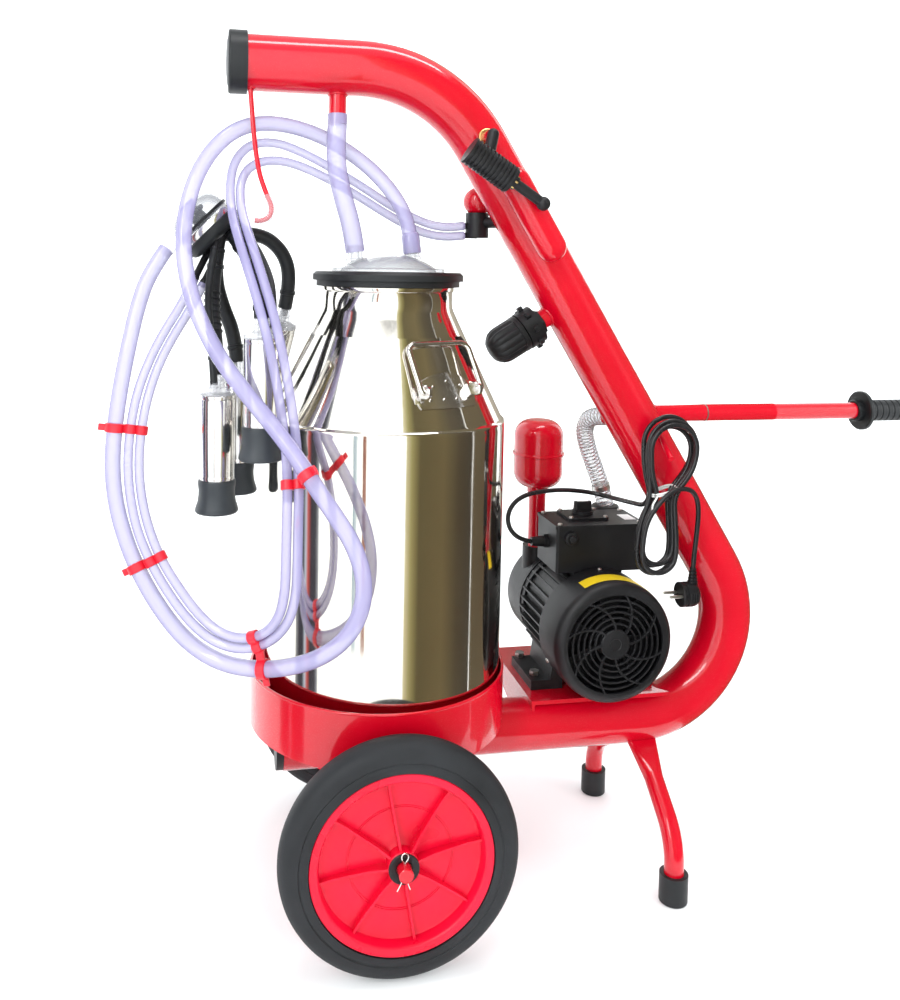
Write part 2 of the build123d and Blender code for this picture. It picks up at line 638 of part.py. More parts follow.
# ---------------------------------------------------------------- vacuum pump
PUMP_FRONT_Y = FRAME_BACK_Y + SHIELD_T
CAVITY_Y = (PUMP_FRONT_Y + 8.0, ROTOR_Y[1] + 2.0)
PUMP_ROTOR_R = PUMP_BORE_R - PUMP_OFFSET - FACE_GAP
VANES = 4
VANE_T = 4.0
EXHAUST_BOSS = (EXHAUST_X, MOTOR_Z + 84, 20)  # x, top and radius
SUCTION_BOSS = (SUCTION_X, MOTOR_Z + 74, 25)
PORT_NECK_R = 15.0
PORT_HEAD = (22.0, 16.0)  # radius and height
with BuildPart() as pump_housing:
    add_rod((MOTOR_X, PUMP_FRONT_Y, MOTOR_Z), (MOTOR_X, PUMP_BACK_Y, MOTOR_Z), PUMP_R)
    for x, top_z, radius in EXHAUST_BOSS, SUCTION_BOSS:
        add_rod((x, PORT_Y + 6, MOTOR_Z), (x, PORT_Y + 6, top_z), radius)
    bore_z = MOTOR_Z - PUMP_OFFSET
    add_rod((MOTOR_X, CAVITY_Y[0], bore_z), (MOTOR_X, CAVITY_Y[1], bore_z), PUMP_BORE_R, mode=Mode.SUBTRACT)
    shaft_hole = (MOTOR_X, PUMP_FRONT_Y - 1, MOTOR_Z)
    add_rod(shaft_hole, (MOTOR_X, CAVITY_Y[0], MOTOR_Z), SHAFT_R + 0.5, mode=Mode.SUBTRACT)
    chamfer(pump_housing.faces().group_by(Axis.Y)[-1].edges(), length=4)

with BuildPart() as pump_rotor:
    rotor_y0 = CAVITY_Y[0] + FACE_GAP
    rotor_length = CAVITY_Y[1] - FACE_GAP - rotor_y0
    with BuildSketch(facing_y(MOTOR_X, rotor_y0, MOTOR_Z)):
        Circle(PUMP_ROTOR_R)
        Circle(SHAFT_R, mode=Mode.SUBTRACT)
        with PolarLocations((PUMP_ROTOR_R + 20) / 2, VANES):
            Rectangle(PUMP_ROTOR_R - 20 + 2, VANE_T, mode=Mode.SUBTRACT)
    extrude(amount=rotor_length)
    # the sliding vanes, drawn at their inner position
    with BuildSketch(facing_y(MOTOR_X, rotor_y0, MOTOR_Z)):
        with PolarLocations((PUMP_ROTOR_R + 20) / 2, VANES):
            Rectangle(PUMP_ROTOR_R - 20 - 2, VANE_T - 0.2)
    extrude(amount=rotor_length)

with BuildPart() as suction_port:
    head_z = SUCTION_TOP_Z - PORT_HEAD[1]
    add_rod((SUCTION_X, PORT_Y, SUCTION_BOSS[1]), (SUCTION_X, PORT_Y, head_z), PORT_NECK_R)
    add_rod((SUCTION_X, PORT_Y, head_z), (SUCTION_X, PORT_Y, SUCTION_TOP_Z), PORT_HEAD[0])
    fillet(suction_port.faces().group_by(Axis.Z)[-1].edges(), radius=3)

PIPE_R = 13.5
SILENCER_HALF = (SILENCER_Z[1] - SILENCER_Z[0]) / 2
with BuildPart() as exhaust_silencer:
    with Locations((EXHAUST_X, PORT_Y, SILENCER_Z[0])):
        Cylinder(SILENCER_R, 2 * SILENCER_HALF, align=(Align.CENTER, Align.CENTER, Align.MIN))
    fillet(exhaust_silencer.edges().filter_by(GeomType.CIRCLE), radius=SILENCER_R - PIPE_R)
    add_rod((EXHAUST_X, PORT_Y, EXHAUST_BOSS[1]), (EXHAUST_X, PORT_Y, SILENCER_Z[0] + 4), PIPE_R)
    with BuildSketch(Plane.XY.offset(SILENCER_Z[0] + SILENCER_HALF - 2)):
        with Locations((EXHAUST_X, PORT_Y)):
            Circle(SILENCER_R + 2)
    extrude(amount=4)

SUCTION_ROUTE = [
    (113, 148, 484), (104, 147, 516), (90, 143, 548), (74, 134, 580), (61, 120, 610),
    (56, 100, 632), (60, 77, 643), (70, 56, 645),
]
suction_hose = hose("suction_hose", SUCTION_ROUTE, HOSE_SUCTION)

# ---------------------------------------------------------------- regulator
REGULATOR_R = 19.0
REGULATOR_TOP = Vector(-196, -90, 1024)
REGULATOR_BASE = Vector(-136, -90, 985)
REGULATOR_RUN = (REGULATOR_BASE - REGULATOR_TOP).normalized()
NUT_LENGTH = 6.0
STEM_R = 7.0
STEM_LENGTH = 46.0
KNOB_BALL_R = 9.5
RIBS = 12
with BuildPart() as regulator_body:
    add_rod(REGULATOR_TOP, REGULATOR_BASE, REGULATOR_R - 2)
    body_length = (REGULATOR_BASE - REGULATOR_TOP).length
    pitch = body_length / RIBS
    for rib in range(RIBS):
        rib_start = REGULATOR_TOP + REGULATOR_RUN * (rib * pitch)
        add_rod(rib_start, rib_start + REGULATOR_RUN * (pitch * 0.55), REGULATOR_R)
    nut_end = REGULATOR_BASE + REGULATOR_RUN * NUT_LENGTH
    add_rod(REGULATOR_BASE, nut_end, STEM_R + 2.5)
    # neck up to its seat on the main tube
    elbow = REGULATOR_SEAT + Vector(0, -NIPPLE_R, 0)
    with Locations(elbow):
        Sphere(NIPPLE_R)
    add_rod(elbow, REGULATOR_TOP + REGULATOR_RUN * 30, NIPPLE_R)
    add_rod(REGULATOR_BASE - REGULATOR_RUN * 20, nut_end, 3 + RUN_GAP, mode=Mode.SUBTRACT)

STEM_START = REGULATOR_BASE + REGULATOR_RUN * (NUT_LENGTH + FACE_GAP)
STEM_END = STEM_START + REGULATOR_RUN * STEM_LENGTH
with BuildPart() as regulator_stem:
    add_rod(REGULATOR_BASE - REGULATOR_RUN * 18, STEM_START, 3)
    add_rod(STEM_START, STEM_END, STEM_R)
    with Locations(STEM_END):
        Sphere(KNOB_BALL_R)

# ---------------------------------------------------------------- liquid trap
TRAP_COLLAR = (56.0, 80.0)  # distances out from the tube's centre line
TRAP_BOWL_END = 137.0
TRAP_R = 27.0
TRAP_NECK_R = 21.0
with BuildPart() as trap_collar:
    add_rod(on_diagonal(TRAP_AT, TRAP_COLLAR[0]), on_diagonal(TRAP_AT, TRAP_COLLAR[1]), TRAP_R + 1)
    collar_plane = Plane(origin=on_diagonal(TRAP_AT, TRAP_COLLAR[1] - 9), z_dir=-BELOW_TUBE)
    with BuildSketch(collar_plane):
        with PolarLocations(TRAP_R + 2, 8):
            RectangleRounded(9, 9, 2)
    extrude(amount=7)
    stub_bore = (on_diagonal(TRAP_AT, TRAP_COLLAR[0] - 1), trap_end)
    add_rod(*stub_bore, TRAP_STUB_R, mode=Mode.SUBTRACT)
    add_rod(trap_end, on_diagonal(TRAP_AT, TRAP_COLLAR[1] + 1), TRAP_NECK_R + RUN_GAP, mode=Mode.SUBTRACT)

with BuildPart() as trap_bowl:
    bowl_start = TRAP_COLLAR[1] + FACE_GAP
    neck_in = TRAP_STUB_OUT + 3
    add_rod(on_diagonal(TRAP_AT, neck_in), on_diagonal(TRAP_AT, bowl_start + 4), TRAP_NECK_R)
    bowl_plane = Plane(origin=on_diagonal(TRAP_AT, bowl_start), x_dir=(0, 1, 0), z_dir=BELOW_TUBE)
    with BuildSketch(Plane(origin=bowl_plane.origin, x_dir=bowl_plane.x_dir, z_dir=bowl_plane.y_dir)):
        with BuildLine():
            depth = TRAP_BOWL_END - bowl_start
            Polyline((0, -depth), (0, 0), (TRAP_R, 0), (TRAP_R, 20 - depth))
            RadiusArc((TRAP_R, 20 - depth), (TRAP_R - 20, -depth), 20)
            Line((TRAP_R - 20, -depth), (0, -depth))
        make_face()
    revolve(axis=Axis(bowl_plane.origin, BELOW_TUBE))
    hollow_end = on_diagonal(TRAP_AT, TRAP_BOWL_END - 22)
    add_rod(on_diagonal(TRAP_AT, neck_in - 1), hollow_end, TRAP_NECK_R - 3, mode=Mode.SUBTRACT)

# ---------------------------------------------------------------- pulsator
PULSATOR = Vector(-143, 53, 936)
PULSATOR_R = 17.0
BALL_R = 21.0
PULSE_NOZZLES = ((-163, 53, 917), (-163, 53, 931))
with BuildPart() as pulsator_body:
    add_rod(PULSATOR + Vector(0, 0, -22), PULSATOR + Vector(0, 0, 14), PULSATOR_R)
    for nozzle_end in PULSE_NOZZLES:
        add_rod((PULSATOR.X, PULSATOR.Y, nozzle_end[2]), nozzle_end, HOSE_PULSE / 2 - 2)
    # bracket arm to the main tube
    tube_at = on_diagonal((ARM_Z - PULSATOR.Z) / -DOWN_TUBE.Z)
    add_rod(PULSATOR, (tube_at.X, 0, PULSATOR.Z), 8)
    add_rod(ARM_CORNER, LOWER_CORNER, TUBE_R, mode=Mode.SUBTRACT)

with BuildPart() as pulsator_cap:
    with Locations(PULSATOR + Vector(0, 0, 14 + BALL_R - 4)):
        Sphere(BALL_R)
    with Locations(PULSATOR + Vector(0, 0, 14)):
        Box(100, 100, 60, align=(Align.CENTER, Align.CENTER, Align.MAX), mode=Mode.SUBTRACT)

# ---------------------------------------------------------------- handle
with BuildPart() as handle_bar:
    add_rod((SEAM_X, 0, HANDLE_Z), (GRIP_END_X - 6, 0, HANDLE_Z), HANDLE_R)
    spigot_r = HANDLE_R - HANDLE_WALL - RUN_GAP
    add_rod((SEAM_X - SPIGOT, 0, HANDLE_Z), (SEAM_X + 5, 0, HANDLE_Z), spigot_r)
    bore_start = (SEAM_X - SPIGOT - 1, 0, HANDLE_Z)
    add_rod(bore_start, (GRIP_END_X, 0, HANDLE_Z), spigot_r - 2, mode=Mode.SUBTRACT)

with BuildPart() as handle_grip:
    add_rod((GRIP_START_X, 0, HANDLE_Z), (GRIP_END_X, 0, HANDLE_Z), GRIP_R)
    flange_x = GRIP_START_X + 10
    add_rod((flange_x, 0, HANDLE_Z), (flange_x + 7, 0, HANDLE_Z), GRIP_FLANGE_R)
    add_rod((GRIP_START_X - 1, 0, HANDLE_Z), (GRIP_END_X - 6, 0, HANDLE_Z), HANDLE_R, mode=Mode.SUBTRACT)
    fillet(handle_grip.faces().group_by(Axis.X)[-1].edges(), radius=4)

# ---------------------------------------------------------------- bucket
SEAM_STEP = 3.0
FLANGE_R = 92.0
FLANGE_Z = 836.0
FLOOR_EDGE_R = 12.0
BAIL_WIRE_R = 3.5
BAIL_PIVOT_R = 150.0
BAIL_PIVOT_Z = 712.0
BAIL_HALF = 49.0
BAIL_RISE = 58.0
BAIL_LEAN = 34.0
BAIL_END = 36.0
LUG = (38.0, 44.0)
BAIL_AZIMUTHS = (-66.0, 114.0)


def bail_plane(azimuth):
    """Origin at the pivot line, x along the pivot axis, y up, z away from the bucket."""
    away = Vector(math.cos(math.radians(azimuth)), math.sin(math.radians(azimuth)), 0)
    origin = Vector(BUCKET_X, 0, BAIL_PIVOT_Z) + away * BAIL_PIVOT_R
    return Plane(origin=origin, x_dir=Vector(0, 0, 1).cross(away), z_dir=away)


def bucket_outline(inset, floor, top):
    """Half section of the bucket, inset from the outer skin."""
    Polyline(
        (0, floor),
        (BUCKET_R - FLOOR_EDGE_R, floor),
        (BUCKET_R - inset, floor + FLOOR_EDGE_R),
        (BUCKET_R - inset, SHOULDER_Z),
        (BUCKET_R - SEAM_STEP - inset, SHOULDER_Z + 2),
        (NECK_R - inset, NECK_BASE_Z),
        (NECK_R - inset, top),
        (0, top),
        close=True,
    )


BUCKET_PLANE = Plane(origin=(BUCKET_X, 0, 0), x_dir=(1, 0, 0), z_dir=(0, -1, 0))
BUCKET_AXIS = Axis((BUCKET_X, 0, 0), (0, 0, 1))
with BuildPart() as bucket_shell:
    with BuildSketch(BUCKET_PLANE):
        with BuildLine():
            bucket_outline(0, BUCKET_FLOOR_Z, RIM_TOP_Z)
        make_face()
        with Locations((0, FLANGE_Z)):
            Rectangle(FLANGE_R, RIM_TOP_Z - FLANGE_Z, align=(Align.MIN, Align.MIN))
    revolve(axis=BUCKET_AXIS)
    for azimuth in BAIL_AZIMUTHS:
        plane = bail_plane(azimuth)
        for t in (-LUG[1], LUG[0]):
            lug_start = plane.from_local_coords((t, 0, 0))
            with BuildSketch(Plane(origin=lug_start, x_dir=(0, 0, 1), z_dir=plane.x_dir)):
                SlotCenterToCenter(0.01, 16)
                with Locations((-2, 0)):
                    Polygon((6, 6), (10, 30), (-20, 30), (-6, 6), align=None)
                    Polygon((6, -6), (10, -30), (-20, -30), (-6, -6), align=None)
            extrude(amount=LUG[1] - LUG[0])
    with BuildSketch(BUCKET_PLANE):
        with BuildLine():
            bucket_outline(BUCKET_WALL, BUCKET_FLOOR_Z + BUCKET_WALL, RIM_TOP_Z + 1)
        make_face()
    revolve(axis=BUCKET_AXIS, mode=Mode.SUBTRACT)
    for azimuth in BAIL_AZIMUTHS:
        plane = bail_plane(azimuth)
        pivot_line = [plane.from_local_coords((t, 0, 0)) for t in (-LUG[1] - 1, LUG[1] + 1)]
        add_rod(*pivot_line, BAIL_WIRE_R + RUN_GAP, mode=Mode.SUBTRACT)


def bail(azimuth):
    """Wire handle that hangs in two lugs and leans on the shoulder."""
    plane = bail_plane(azimuth)
    corners = [
        (-BAIL_END, 0, 0),
        (-BAIL_HALF, 0, 0),
        (-BAIL_HALF, BAIL_RISE, -BAIL_LEAN),
        (BAIL_HALF, BAIL_RISE, -BAIL_LEAN),
        (BAIL_HALF, 0, 0),
        (BAIL_END, 0, 0),
    ]
    points = [plane.from_local_coords(corner) for corner in corners]
    with BuildPart() as wire:
        with BuildLine() as route:
            FilletPolyline(*points, radius=[4.5, 12, 12, 4.5])
        with BuildSketch(along(points[0], points[1])):
            Circle(BAIL_WIRE_R)
        sweep(path=route.line)
    return wire


bail_near = bail(BAIL_AZIMUTHS[0])
bail_far = bail(BAIL_AZIMUTHS[1])

# ---------------------------------------------------------------- lid
GASKET_R = 105.0
GASKET_STEP_Z = 850.0
GASKET_TOP_Z = 862.0
DOME_R = 74.0
DOME_TOP_Z = 888.0
DOME_WALL = 3.0
DOME_SPHERE_R = (DOME_R**2 + (DOME_TOP_Z - GASKET_TOP_Z) ** 2) / 2 / (DOME_TOP_Z - GASKET_TOP_Z)
LID_NOZZLES_X = (-332.0, -251.0)
NOZZLE_TOP_Z = 889.0
NOZZLE_BORE_R = 6.0
with BuildPart() as lid_gasket:
    with BuildSketch(BUCKET_PLANE):
        with BuildLine():
            Polyline(
                (DOME_R - 12, GASKET_TOP_Z),
                (DOME_R - 12, RIM_TOP_Z - 10),
                (NECK_R - BUCKET_WALL - 1, RIM_TOP_Z - 10),
                (NECK_R - BUCKET_WALL - 0.5, RIM_TOP_Z),
                (GASKET_R - 5, RIM_TOP_Z),
                (GASKET_R - 5, GASKET_STEP_Z),
                (GASKET_R, GASKET_STEP_Z),
                (GASKET_R, GASKET_TOP_Z - 4),
                (GASKET_R - 4, GASKET_TOP_Z),
                close=True,
            )
        make_face()
    revolve(axis=BUCKET_AXIS)

with BuildPart() as lid_dome:
    with Locations((BUCKET_X, 0, DOME_TOP_Z - DOME_SPHERE_R)):
        Sphere(DOME_SPHERE_R)
    for x in LID_NOZZLES_X:
        add_rod((x, 0, GASKET_TOP_Z), (x, 0, NOZZLE_TOP_Z), HOSE_MILK / 2)
    with Locations((BUCKET_X, 0, DOME_TOP_Z - DOME_SPHERE_R)):
        Sphere(DOME_SPHERE_R - DOME_WALL, mode=Mode.SUBTRACT)
    with Locations((BUCKET_X, 0, GASKET_TOP_Z)):
        Cylinder(2 * DOME_SPHERE_R, 4 * DOME_SPHERE_R,
                 align=(Align.CENTER, Align.CENTER, Align.MAX), mode=Mode.SUBTRACT)
    for x in LID_NOZZLES_X:
        with Locations((x, 0, GASKET_TOP_Z - 1)):
            Cylinder(NOZZLE_BORE_R, 40, align=(Align.CENTER, Align.CENTER, Align.MIN), mode=Mode.SUBTRACT)

# ---------------------------------------------------------------- milking cluster
CLAW = Vector(-527, 25, 914)
CLAW_AXIS = Vector(-1, 0, 1).normalized()
BOWL_R = 42.0
BOWL_FROM = 4.0
BOWL_TO = 48.0
COVER_RIM_R = 45.0
COVER_FROM = -14.0
CLAW_WALL = 3.0
SHORT_MILK_ROUTES = [
    [(-520, 9, 885), (-526, 4, 850), (-527, -16, 805), (-522, -38, 765), (-520, -45, 724)],
    [(-521, 41, 884), (-523, 47, 850), (-512, 45, 810), (-496, 34, 772), (-492, 30, 733)],
    [(-498, 9, 907), (-482, -5, 885), (-468, -50, 850), (-465, -82, 826), (-465, -88, 801)],
    [(-496, 41, 911), (-462, 45, 915), (-428, 50, 890), (-416, 56, 850), (-424, 62, 808)],
]
SHORT_PULSE_SIDES = [(-0.3, -1, 0), (-0.3, 1, 0), (0.9, -0.3, 0.4), (0.2, 1, 0.2)]
PULSE_STANDOFF = (TUBE_SHORT_MILK + TUBE_SHORT_PULSE) / 2 + 1.5
PULSE_DROP = 14.0  # a pulse tube reaches this much further along its cup
CUP_AXES = [Vector(0, 0, -1), Vector(0, 0, -1), Vector(0, 0, -1), Vector(-36, 54, -176).normalized()]
CUP_TOPS = [Vector(*route[-1]) for route in SHORT_MILK_ROUTES]
NIPPLE = 20.0
MILK_OUTLET = (-588, 8, 888)


def beside(route, side, drop):
    """A route kept a stand-off to one side of another, ending a drop further along."""
    points = [Vector(*point) for point in route]
    shifted = []
    for index, point in enumerate(points):
        run = points[min(index + 1, len(points) - 1)] - points[max(index - 1, 0)]
        aside = Vector(*side) - run * (Vector(*side).dot(run) / run.dot(run))
        shifted.append(point + aside.normalized() * PULSE_STANDOFF)
    last_run = (points[-1] - points[-2]).normalized()
    shifted[-1] = shifted[-1] + last_run * drop
    return [tuple(point) for point in shifted]


SHORT_PULSE_ROUTES = [
    beside(route, side, PULSE_DROP) for route, side in zip(SHORT_MILK_ROUTES, SHORT_PULSE_SIDES)
]

with BuildPart() as claw_bowl:
    with BuildSketch(Plane(origin=CLAW, x_dir=(0, 1, 0), z_dir=Vector(0, 1, 0).cross(CLAW_AXIS))):
        with BuildLine():
            Polyline((0, BOWL_TO), (0, BOWL_FROM), (BOWL_R, BOWL_FROM), (BOWL_R, BOWL_TO - 28))
            RadiusArc((BOWL_R, BOWL_TO - 28), (BOWL_R - 28, BOWL_TO), -28)
            Line((BOWL_R - 28, BOWL_TO), (0, BOWL_TO))
        make_face()
    revolve(axis=Axis(CLAW, CLAW_AXIS))
    add_rod(MILK_OUTLET, CLAW + CLAW_AXIS * (BOWL_FROM + 18), HOSE_MILK / 2 - 2)
    with Locations(Plane(origin=CLAW + CLAW_AXIS * (BOWL_FROM - 1), z_dir=CLAW_AXIS)):
        Cylinder(BOWL_R - 10, BOWL_TO - BOWL_FROM - 10, align=(Align.CENTER, Align.CENTER, Align.MIN),
                 mode=Mode.SUBTRACT)

PULSE_ENDS = (((-551, 14, 848), (-568, 2, 813)), ((-539, 14, 842), (-556, 2, 807)))
with BuildPart() as claw_cover:
    add_rod(CLAW + CLAW_AXIS * COVER_FROM, CLAW + CLAW_AXIS * BOWL_FROM, COVER_RIM_R)
    for route in SHORT_MILK_ROUTES:
        start = Vector(*route[0])
        back = (start - Vector(*route[1])).normalized()
        add_rod(start, start + back * NIPPLE, TUBE_SHORT_MILK / 2 - 2.5)
    for route in SHORT_PULSE_ROUTES:
        start = Vector(*route[0])
        back = (start - Vector(*route[1])).normalized()
        add_rod(start, start + back * NIPPLE, TUBE_SHORT_PULSE / 2 - 1)
    for end, before in PULSE_ENDS:
        inward = (Vector(*end) - Vector(*before)).normalized()
        add_rod(end, Vector(*end) + inward * 56, HOSE_PULSE / 2 - 2)
    with BuildSketch(Plane(origin=CLAW + CLAW_AXIS * BOWL_FROM, z_dir=CLAW_AXIS)):
        Circle(COVER_RIM_R + 30)
    extrude(amount=80, mode=Mode.SUBTRACT)

# teat cups: adaptor on top, steel shell, rubber liner with its mouth downwards
LINER_BARREL_R = 12.5
SHELL_WALL = 1.5
with BuildPart() as cup_adaptors:
    for top, axis, route in zip(CUP_TOPS, CUP_AXES, SHORT_PULSE_ROUTES):
        add_rod(top, top + axis * ADAPTOR_LENGTH, TUBE_SHORT_MILK / 2 - 1)
        add_rod(top + axis * (ADAPTOR_LENGTH - 6), top + axis * ADAPTOR_LENGTH, CUP_R)
        pulse_end = Vector(*route[-1])
        add_rod(pulse_end, pulse_end + axis * (ADAPTOR_LENGTH - PULSE_DROP - 3), TUBE_SHORT_PULSE / 2)
        add_rod(top - axis, top + axis * (ADAPTOR_LENGTH + 1), 5, mode=Mode.SUBTRACT)

with BuildPart() as cup_shells:
    for top, axis in zip(CUP_TOPS, CUP_AXES):
        shell_top = top + axis * ADAPTOR_LENGTH
        shell_end = shell_top + axis * CUP_LENGTH
        add_rod(shell_top, shell_end, CUP_R)
        add_rod(shell_top - axis, shell_end + axis, CUP_R - SHELL_WALL, mode=Mode.SUBTRACT)

with BuildPart() as cup_liners:
    for top, axis in zip(CUP_TOPS, CUP_AXES):
        shell_top = top + axis * ADAPTOR_LENGTH
        mouth_top = shell_top + axis * CUP_LENGTH
        mouth_end = mouth_top + axis * MOUTH_LENGTH
        add_rod(shell_top, mouth_top, LINER_BARREL_R)
        add_rod(mouth_top, mouth_end, MOUTH_R)
        add_rod(mouth_top - axis * 8, mouth_top, CUP_R - SHELL_WALL)
        add_rod(mouth_top + axis * 6, mouth_end - axis * 4, MOUTH_R - 6, mode=Mode.SUBTRACT)
        add_rod(shell_top - axis, mouth_end + axis, MOUTH_BORE_R, mode=Mode.SUBTRACT)

with BuildPart() as short_milk_tubes:
    for number, route in enumerate(SHORT_MILK_ROUTES):
        add(hose(f"short milk tube {number + 1}", route, TUBE_SHORT_MILK).part)
with BuildPart() as short_pulse_tubes:
    for number, route in enumerate(SHORT_PULSE_ROUTES):
        add(hose(f"short pulse tube {number + 1}", route, TUBE_SHORT_PULSE).part)

# ---------------------------------------------------------------- long hoses
VACUUM_ROUTE = [
    (VACUUM_STUB_X, 0, VACUUM_STUB_Z), (-362, 0, 1017), (-351, 0, 967), (-337, 0, 923),
    (LID_NOZZLES_X[0], 0, NOZZLE_TOP_Z),
]
MILK_ROUTE = [
    (LID_NOZZLES_X[1], 0, NOZZLE_TOP_Z), (-255, 4, 928), (-273, 14, 968),
    (-304, 24, 1004), (-344, 30, 1034),
    (-388, 26, 1054), (-434, 14, 1063), (-476, 4, 1060), (-512, -6, 1040), (-542, -22, 1000),
    (-560, -40, 948), (-565, -55, 895), (-558, -70, 843), (-541, -85, 794), (-516, -102, 748),
    (-485, -120, 708), (-454, -138, 672), (-426, -160, 636), (-403, -181, 601), (-380, -194, 568),
    (-358, -200, 533), (-345, -202, 492), (-348, -200, 452), (-366, -195, 417), (-396, -182, 390),
    (-434, -162, 372), (-477, -137, 362), (-521, -114, 366), (-560, -94, 388), (-592, -78, 425),
    (-618, -64, 467), (-637, -52, 510), (-650, -43, 556), (-655, -37, 604), (-652, -32, 654),
    (-645, -26, 706), (-635, -20, 760), (-624, -12, 812), (-610, -3, 855), MILK_OUTLET,
]
PULSE_ROUTE_A = [
    PULSE_NOZZLES[0], (-192, 50, 913), (-230, 48, 920), (-276, 44, 942), (-324, 40, 970), (-367, 38, 995),
    (-408, 36, 1015), (-442, 33, 1026), (-469, 26, 1024), (-486, 12, 1005), (-491, -10, 972),
    (-487, -40, 931), (-475, -71, 889), (-461, -99, 842), (-448, -118, 794), (-437, -121, 743),
    (-428, -119, 692), (-422, -131, 642), (-421, -153, 596), (-423, -167, 552), (-424, -174, 510),
    (-425, -174, 467), (-434, -166, 429), (-455, -151, 401), (-488, -133, 386), (-524, -116, 392),
    (-554, -100, 414), (-580, -84, 445), (-603, -70, 481), (-621, -58, 520), (-631, -49, 562),
    (-635, -42, 606), (-632, -36, 653), (-624, -29, 698), (-609, -20, 740), (-590, -10, 778),
    (-568, 2, 813), (-551, 14, 848),
]
PULSE_ROUTE_B = [
    PULSE_NOZZLES[1], (-192, 50, 927), (-226, 48, 934), (-270, 44, 954), (-316, 40, 982), (-361, 38, 1007),
    (-402, 36, 1027), (-440, 33, 1040), (-475, 26, 1036), (-498, 12, 1011), (-505, -10, 972),
    (-501, -40, 929), (-489, -71, 885), (-475, -99, 838), (-462, -118, 790), (-451, -121, 741),
    (-442, -119, 690), (-436, -131, 642), (-435, -153, 596), (-437, -167, 552), (-438, -174, 510),
    (-439, -174, 469), (-446, -166, 435), (-463, -151, 411), (-490, -133, 400), (-518, -116, 404),
    (-544, -100, 424), (-568, -84, 453), (-591, -70, 487), (-607, -58, 524), (-617, -49, 564),
    (-621, -42, 606), (-618, -36, 651), (-610, -29, 694), (-597, -20, 734), (-578, -10, 772),
    (-556, 2, 807), (-539, 14, 842),
]
vacuum_hose = hose("vacuum_hose", VACUUM_ROUTE, HOSE_VACUUM)
milk_hose = hose("milk_hose", MILK_ROUTE, HOSE_MILK)
pulse_tube_a = hose("pulse_tube_a", PULSE_ROUTE_A, HOSE_PULSE)
pulse_tube_b = hose("pulse_tube_b", PULSE_ROUTE_B, HOSE_PULSE)

CLIP_WALL = 2.5
CLIP_WIDTH = 12.0
CLIP_PLACES = ((-640, -36, 654), (-615, -66, 477), (-470, -148, 392), (-420, -160, 602))


def nearest_on(route, place):
    """The point of a route's runs nearest to a place, and the run's direction."""
    best = None
    for first, second in zip(route, route[1:]):
        start = Vector(*first)
        run = Vector(*second) - start
        share = min(1, max(0, (Vector(*place) - start).dot(run) / run.dot(run)))
        point = start + run * share
        gap = (Vector(*place) - point).length
        if best is None or gap < best[0]:
            best = (gap, point, run.normalized())
    return best[1], best[2]


with BuildPart() as hose_clips:
    held_hoses = ((MILK_ROUTE, HOSE_MILK), (PULSE_ROUTE_A, HOSE_PULSE), (PULSE_ROUTE_B, HOSE_PULSE))
    for extra, mode in ((CLIP_WALL, Mode.ADD), (0, Mode.SUBTRACT)):
        for place in CLIP_PLACES:
            for route, diameter in held_hoses:
                point, run = nearest_on(route, place)
                half = run * (CLIP_WIDTH / 2 + (0 if mode == Mode.ADD else 6))
                add_rod(point - half, point + half, diameter / 2 + extra, mode=mode)

# ---------------------------------------------------------------- power cord and plug
CORD_START = (GLAND_FACE_X - GLAND_LENGTH, GLAND_Y, GLAND_Z)
CORD_LEAD_ROUTE = [
    CORD_START, (-66, 48, 460), (-84, 45, 476), (-90, 42, 498), (-80, 44, 518), (-56, 54, 528),
    (-20, 72, 528), (20, 92, 524), (60, 100, 518), (86, 84, 514), (95, 48, 520), (94, 4, 532),
    (97, -34, 546), (104, -62, 556),
]
CORD_TAIL_ROUTE = [
    (124, -62, 553), (137, -62, 543), (149, -61, 524), (158, -60, 498), (161, -59, 470), (161, -59, 445),
    (160, -59, 424),
]
cord_lead = hose("cord_lead", CORD_LEAD_ROUTE, CORD)
cord_tail = hose("cord_tail", CORD_TAIL_ROUTE, CORD)

HANK_Y = (-76.0, -48.0)
with BuildPart() as cord_hank:
    with BuildSketch(facing_y(0, HANK_Y[0], 0)):
        with BuildLine():
            Spline(
                (100, -669), (78, -640), (80, -575), (88, -553), (68, -520), (66, -470), (97, -431),
                (128, -470), (130, -520), (124, -553), (155, -580), (160, -625), (130, -662),
                periodic=True,
            )
        make_face()
    extrude(amount=HANK_Y[1] - HANK_Y[0])
    with BuildSketch(facing_y(0, HANK_Y[0] - 1, 0)):
        with Locations((110, -618)):
            SlotCenterToCenter(26, 32, rotation=90)
        with Locations((98, -488)):
            SlotCenterToCenter(30, 24, rotation=90)
    extrude(amount=HANK_Y[1] - HANK_Y[0] + 2, mode=Mode.SUBTRACT)

PLUG_R = 18.0
PLUG = Vector(155, -59, 402)
PIN = (2.4, 19.0)
with BuildPart() as plug:
    add_rod(PLUG + Vector(-15, 0, 0), PLUG + Vector(13, 0, 0), PLUG_R)
    fillet(plug.faces().group_by(Axis.X)[-1].edges(), radius=6)
    with BuildSketch(Plane(origin=(PLUG.X + 5, PLUG.Y, PLUG.Z + 10), z_dir=(0, 0, 1))):
        Circle(9)
    extrude(amount=CORD_TAIL_ROUTE[-1][2] - PLUG.Z - 10, taper=10)
    for side in (-1, 1):
        pin_root = PLUG + Vector(-15, side * 9.5, 0)
        add_rod(pin_root, pin_root + Vector(-PIN[1], 0, 0), PIN[0])

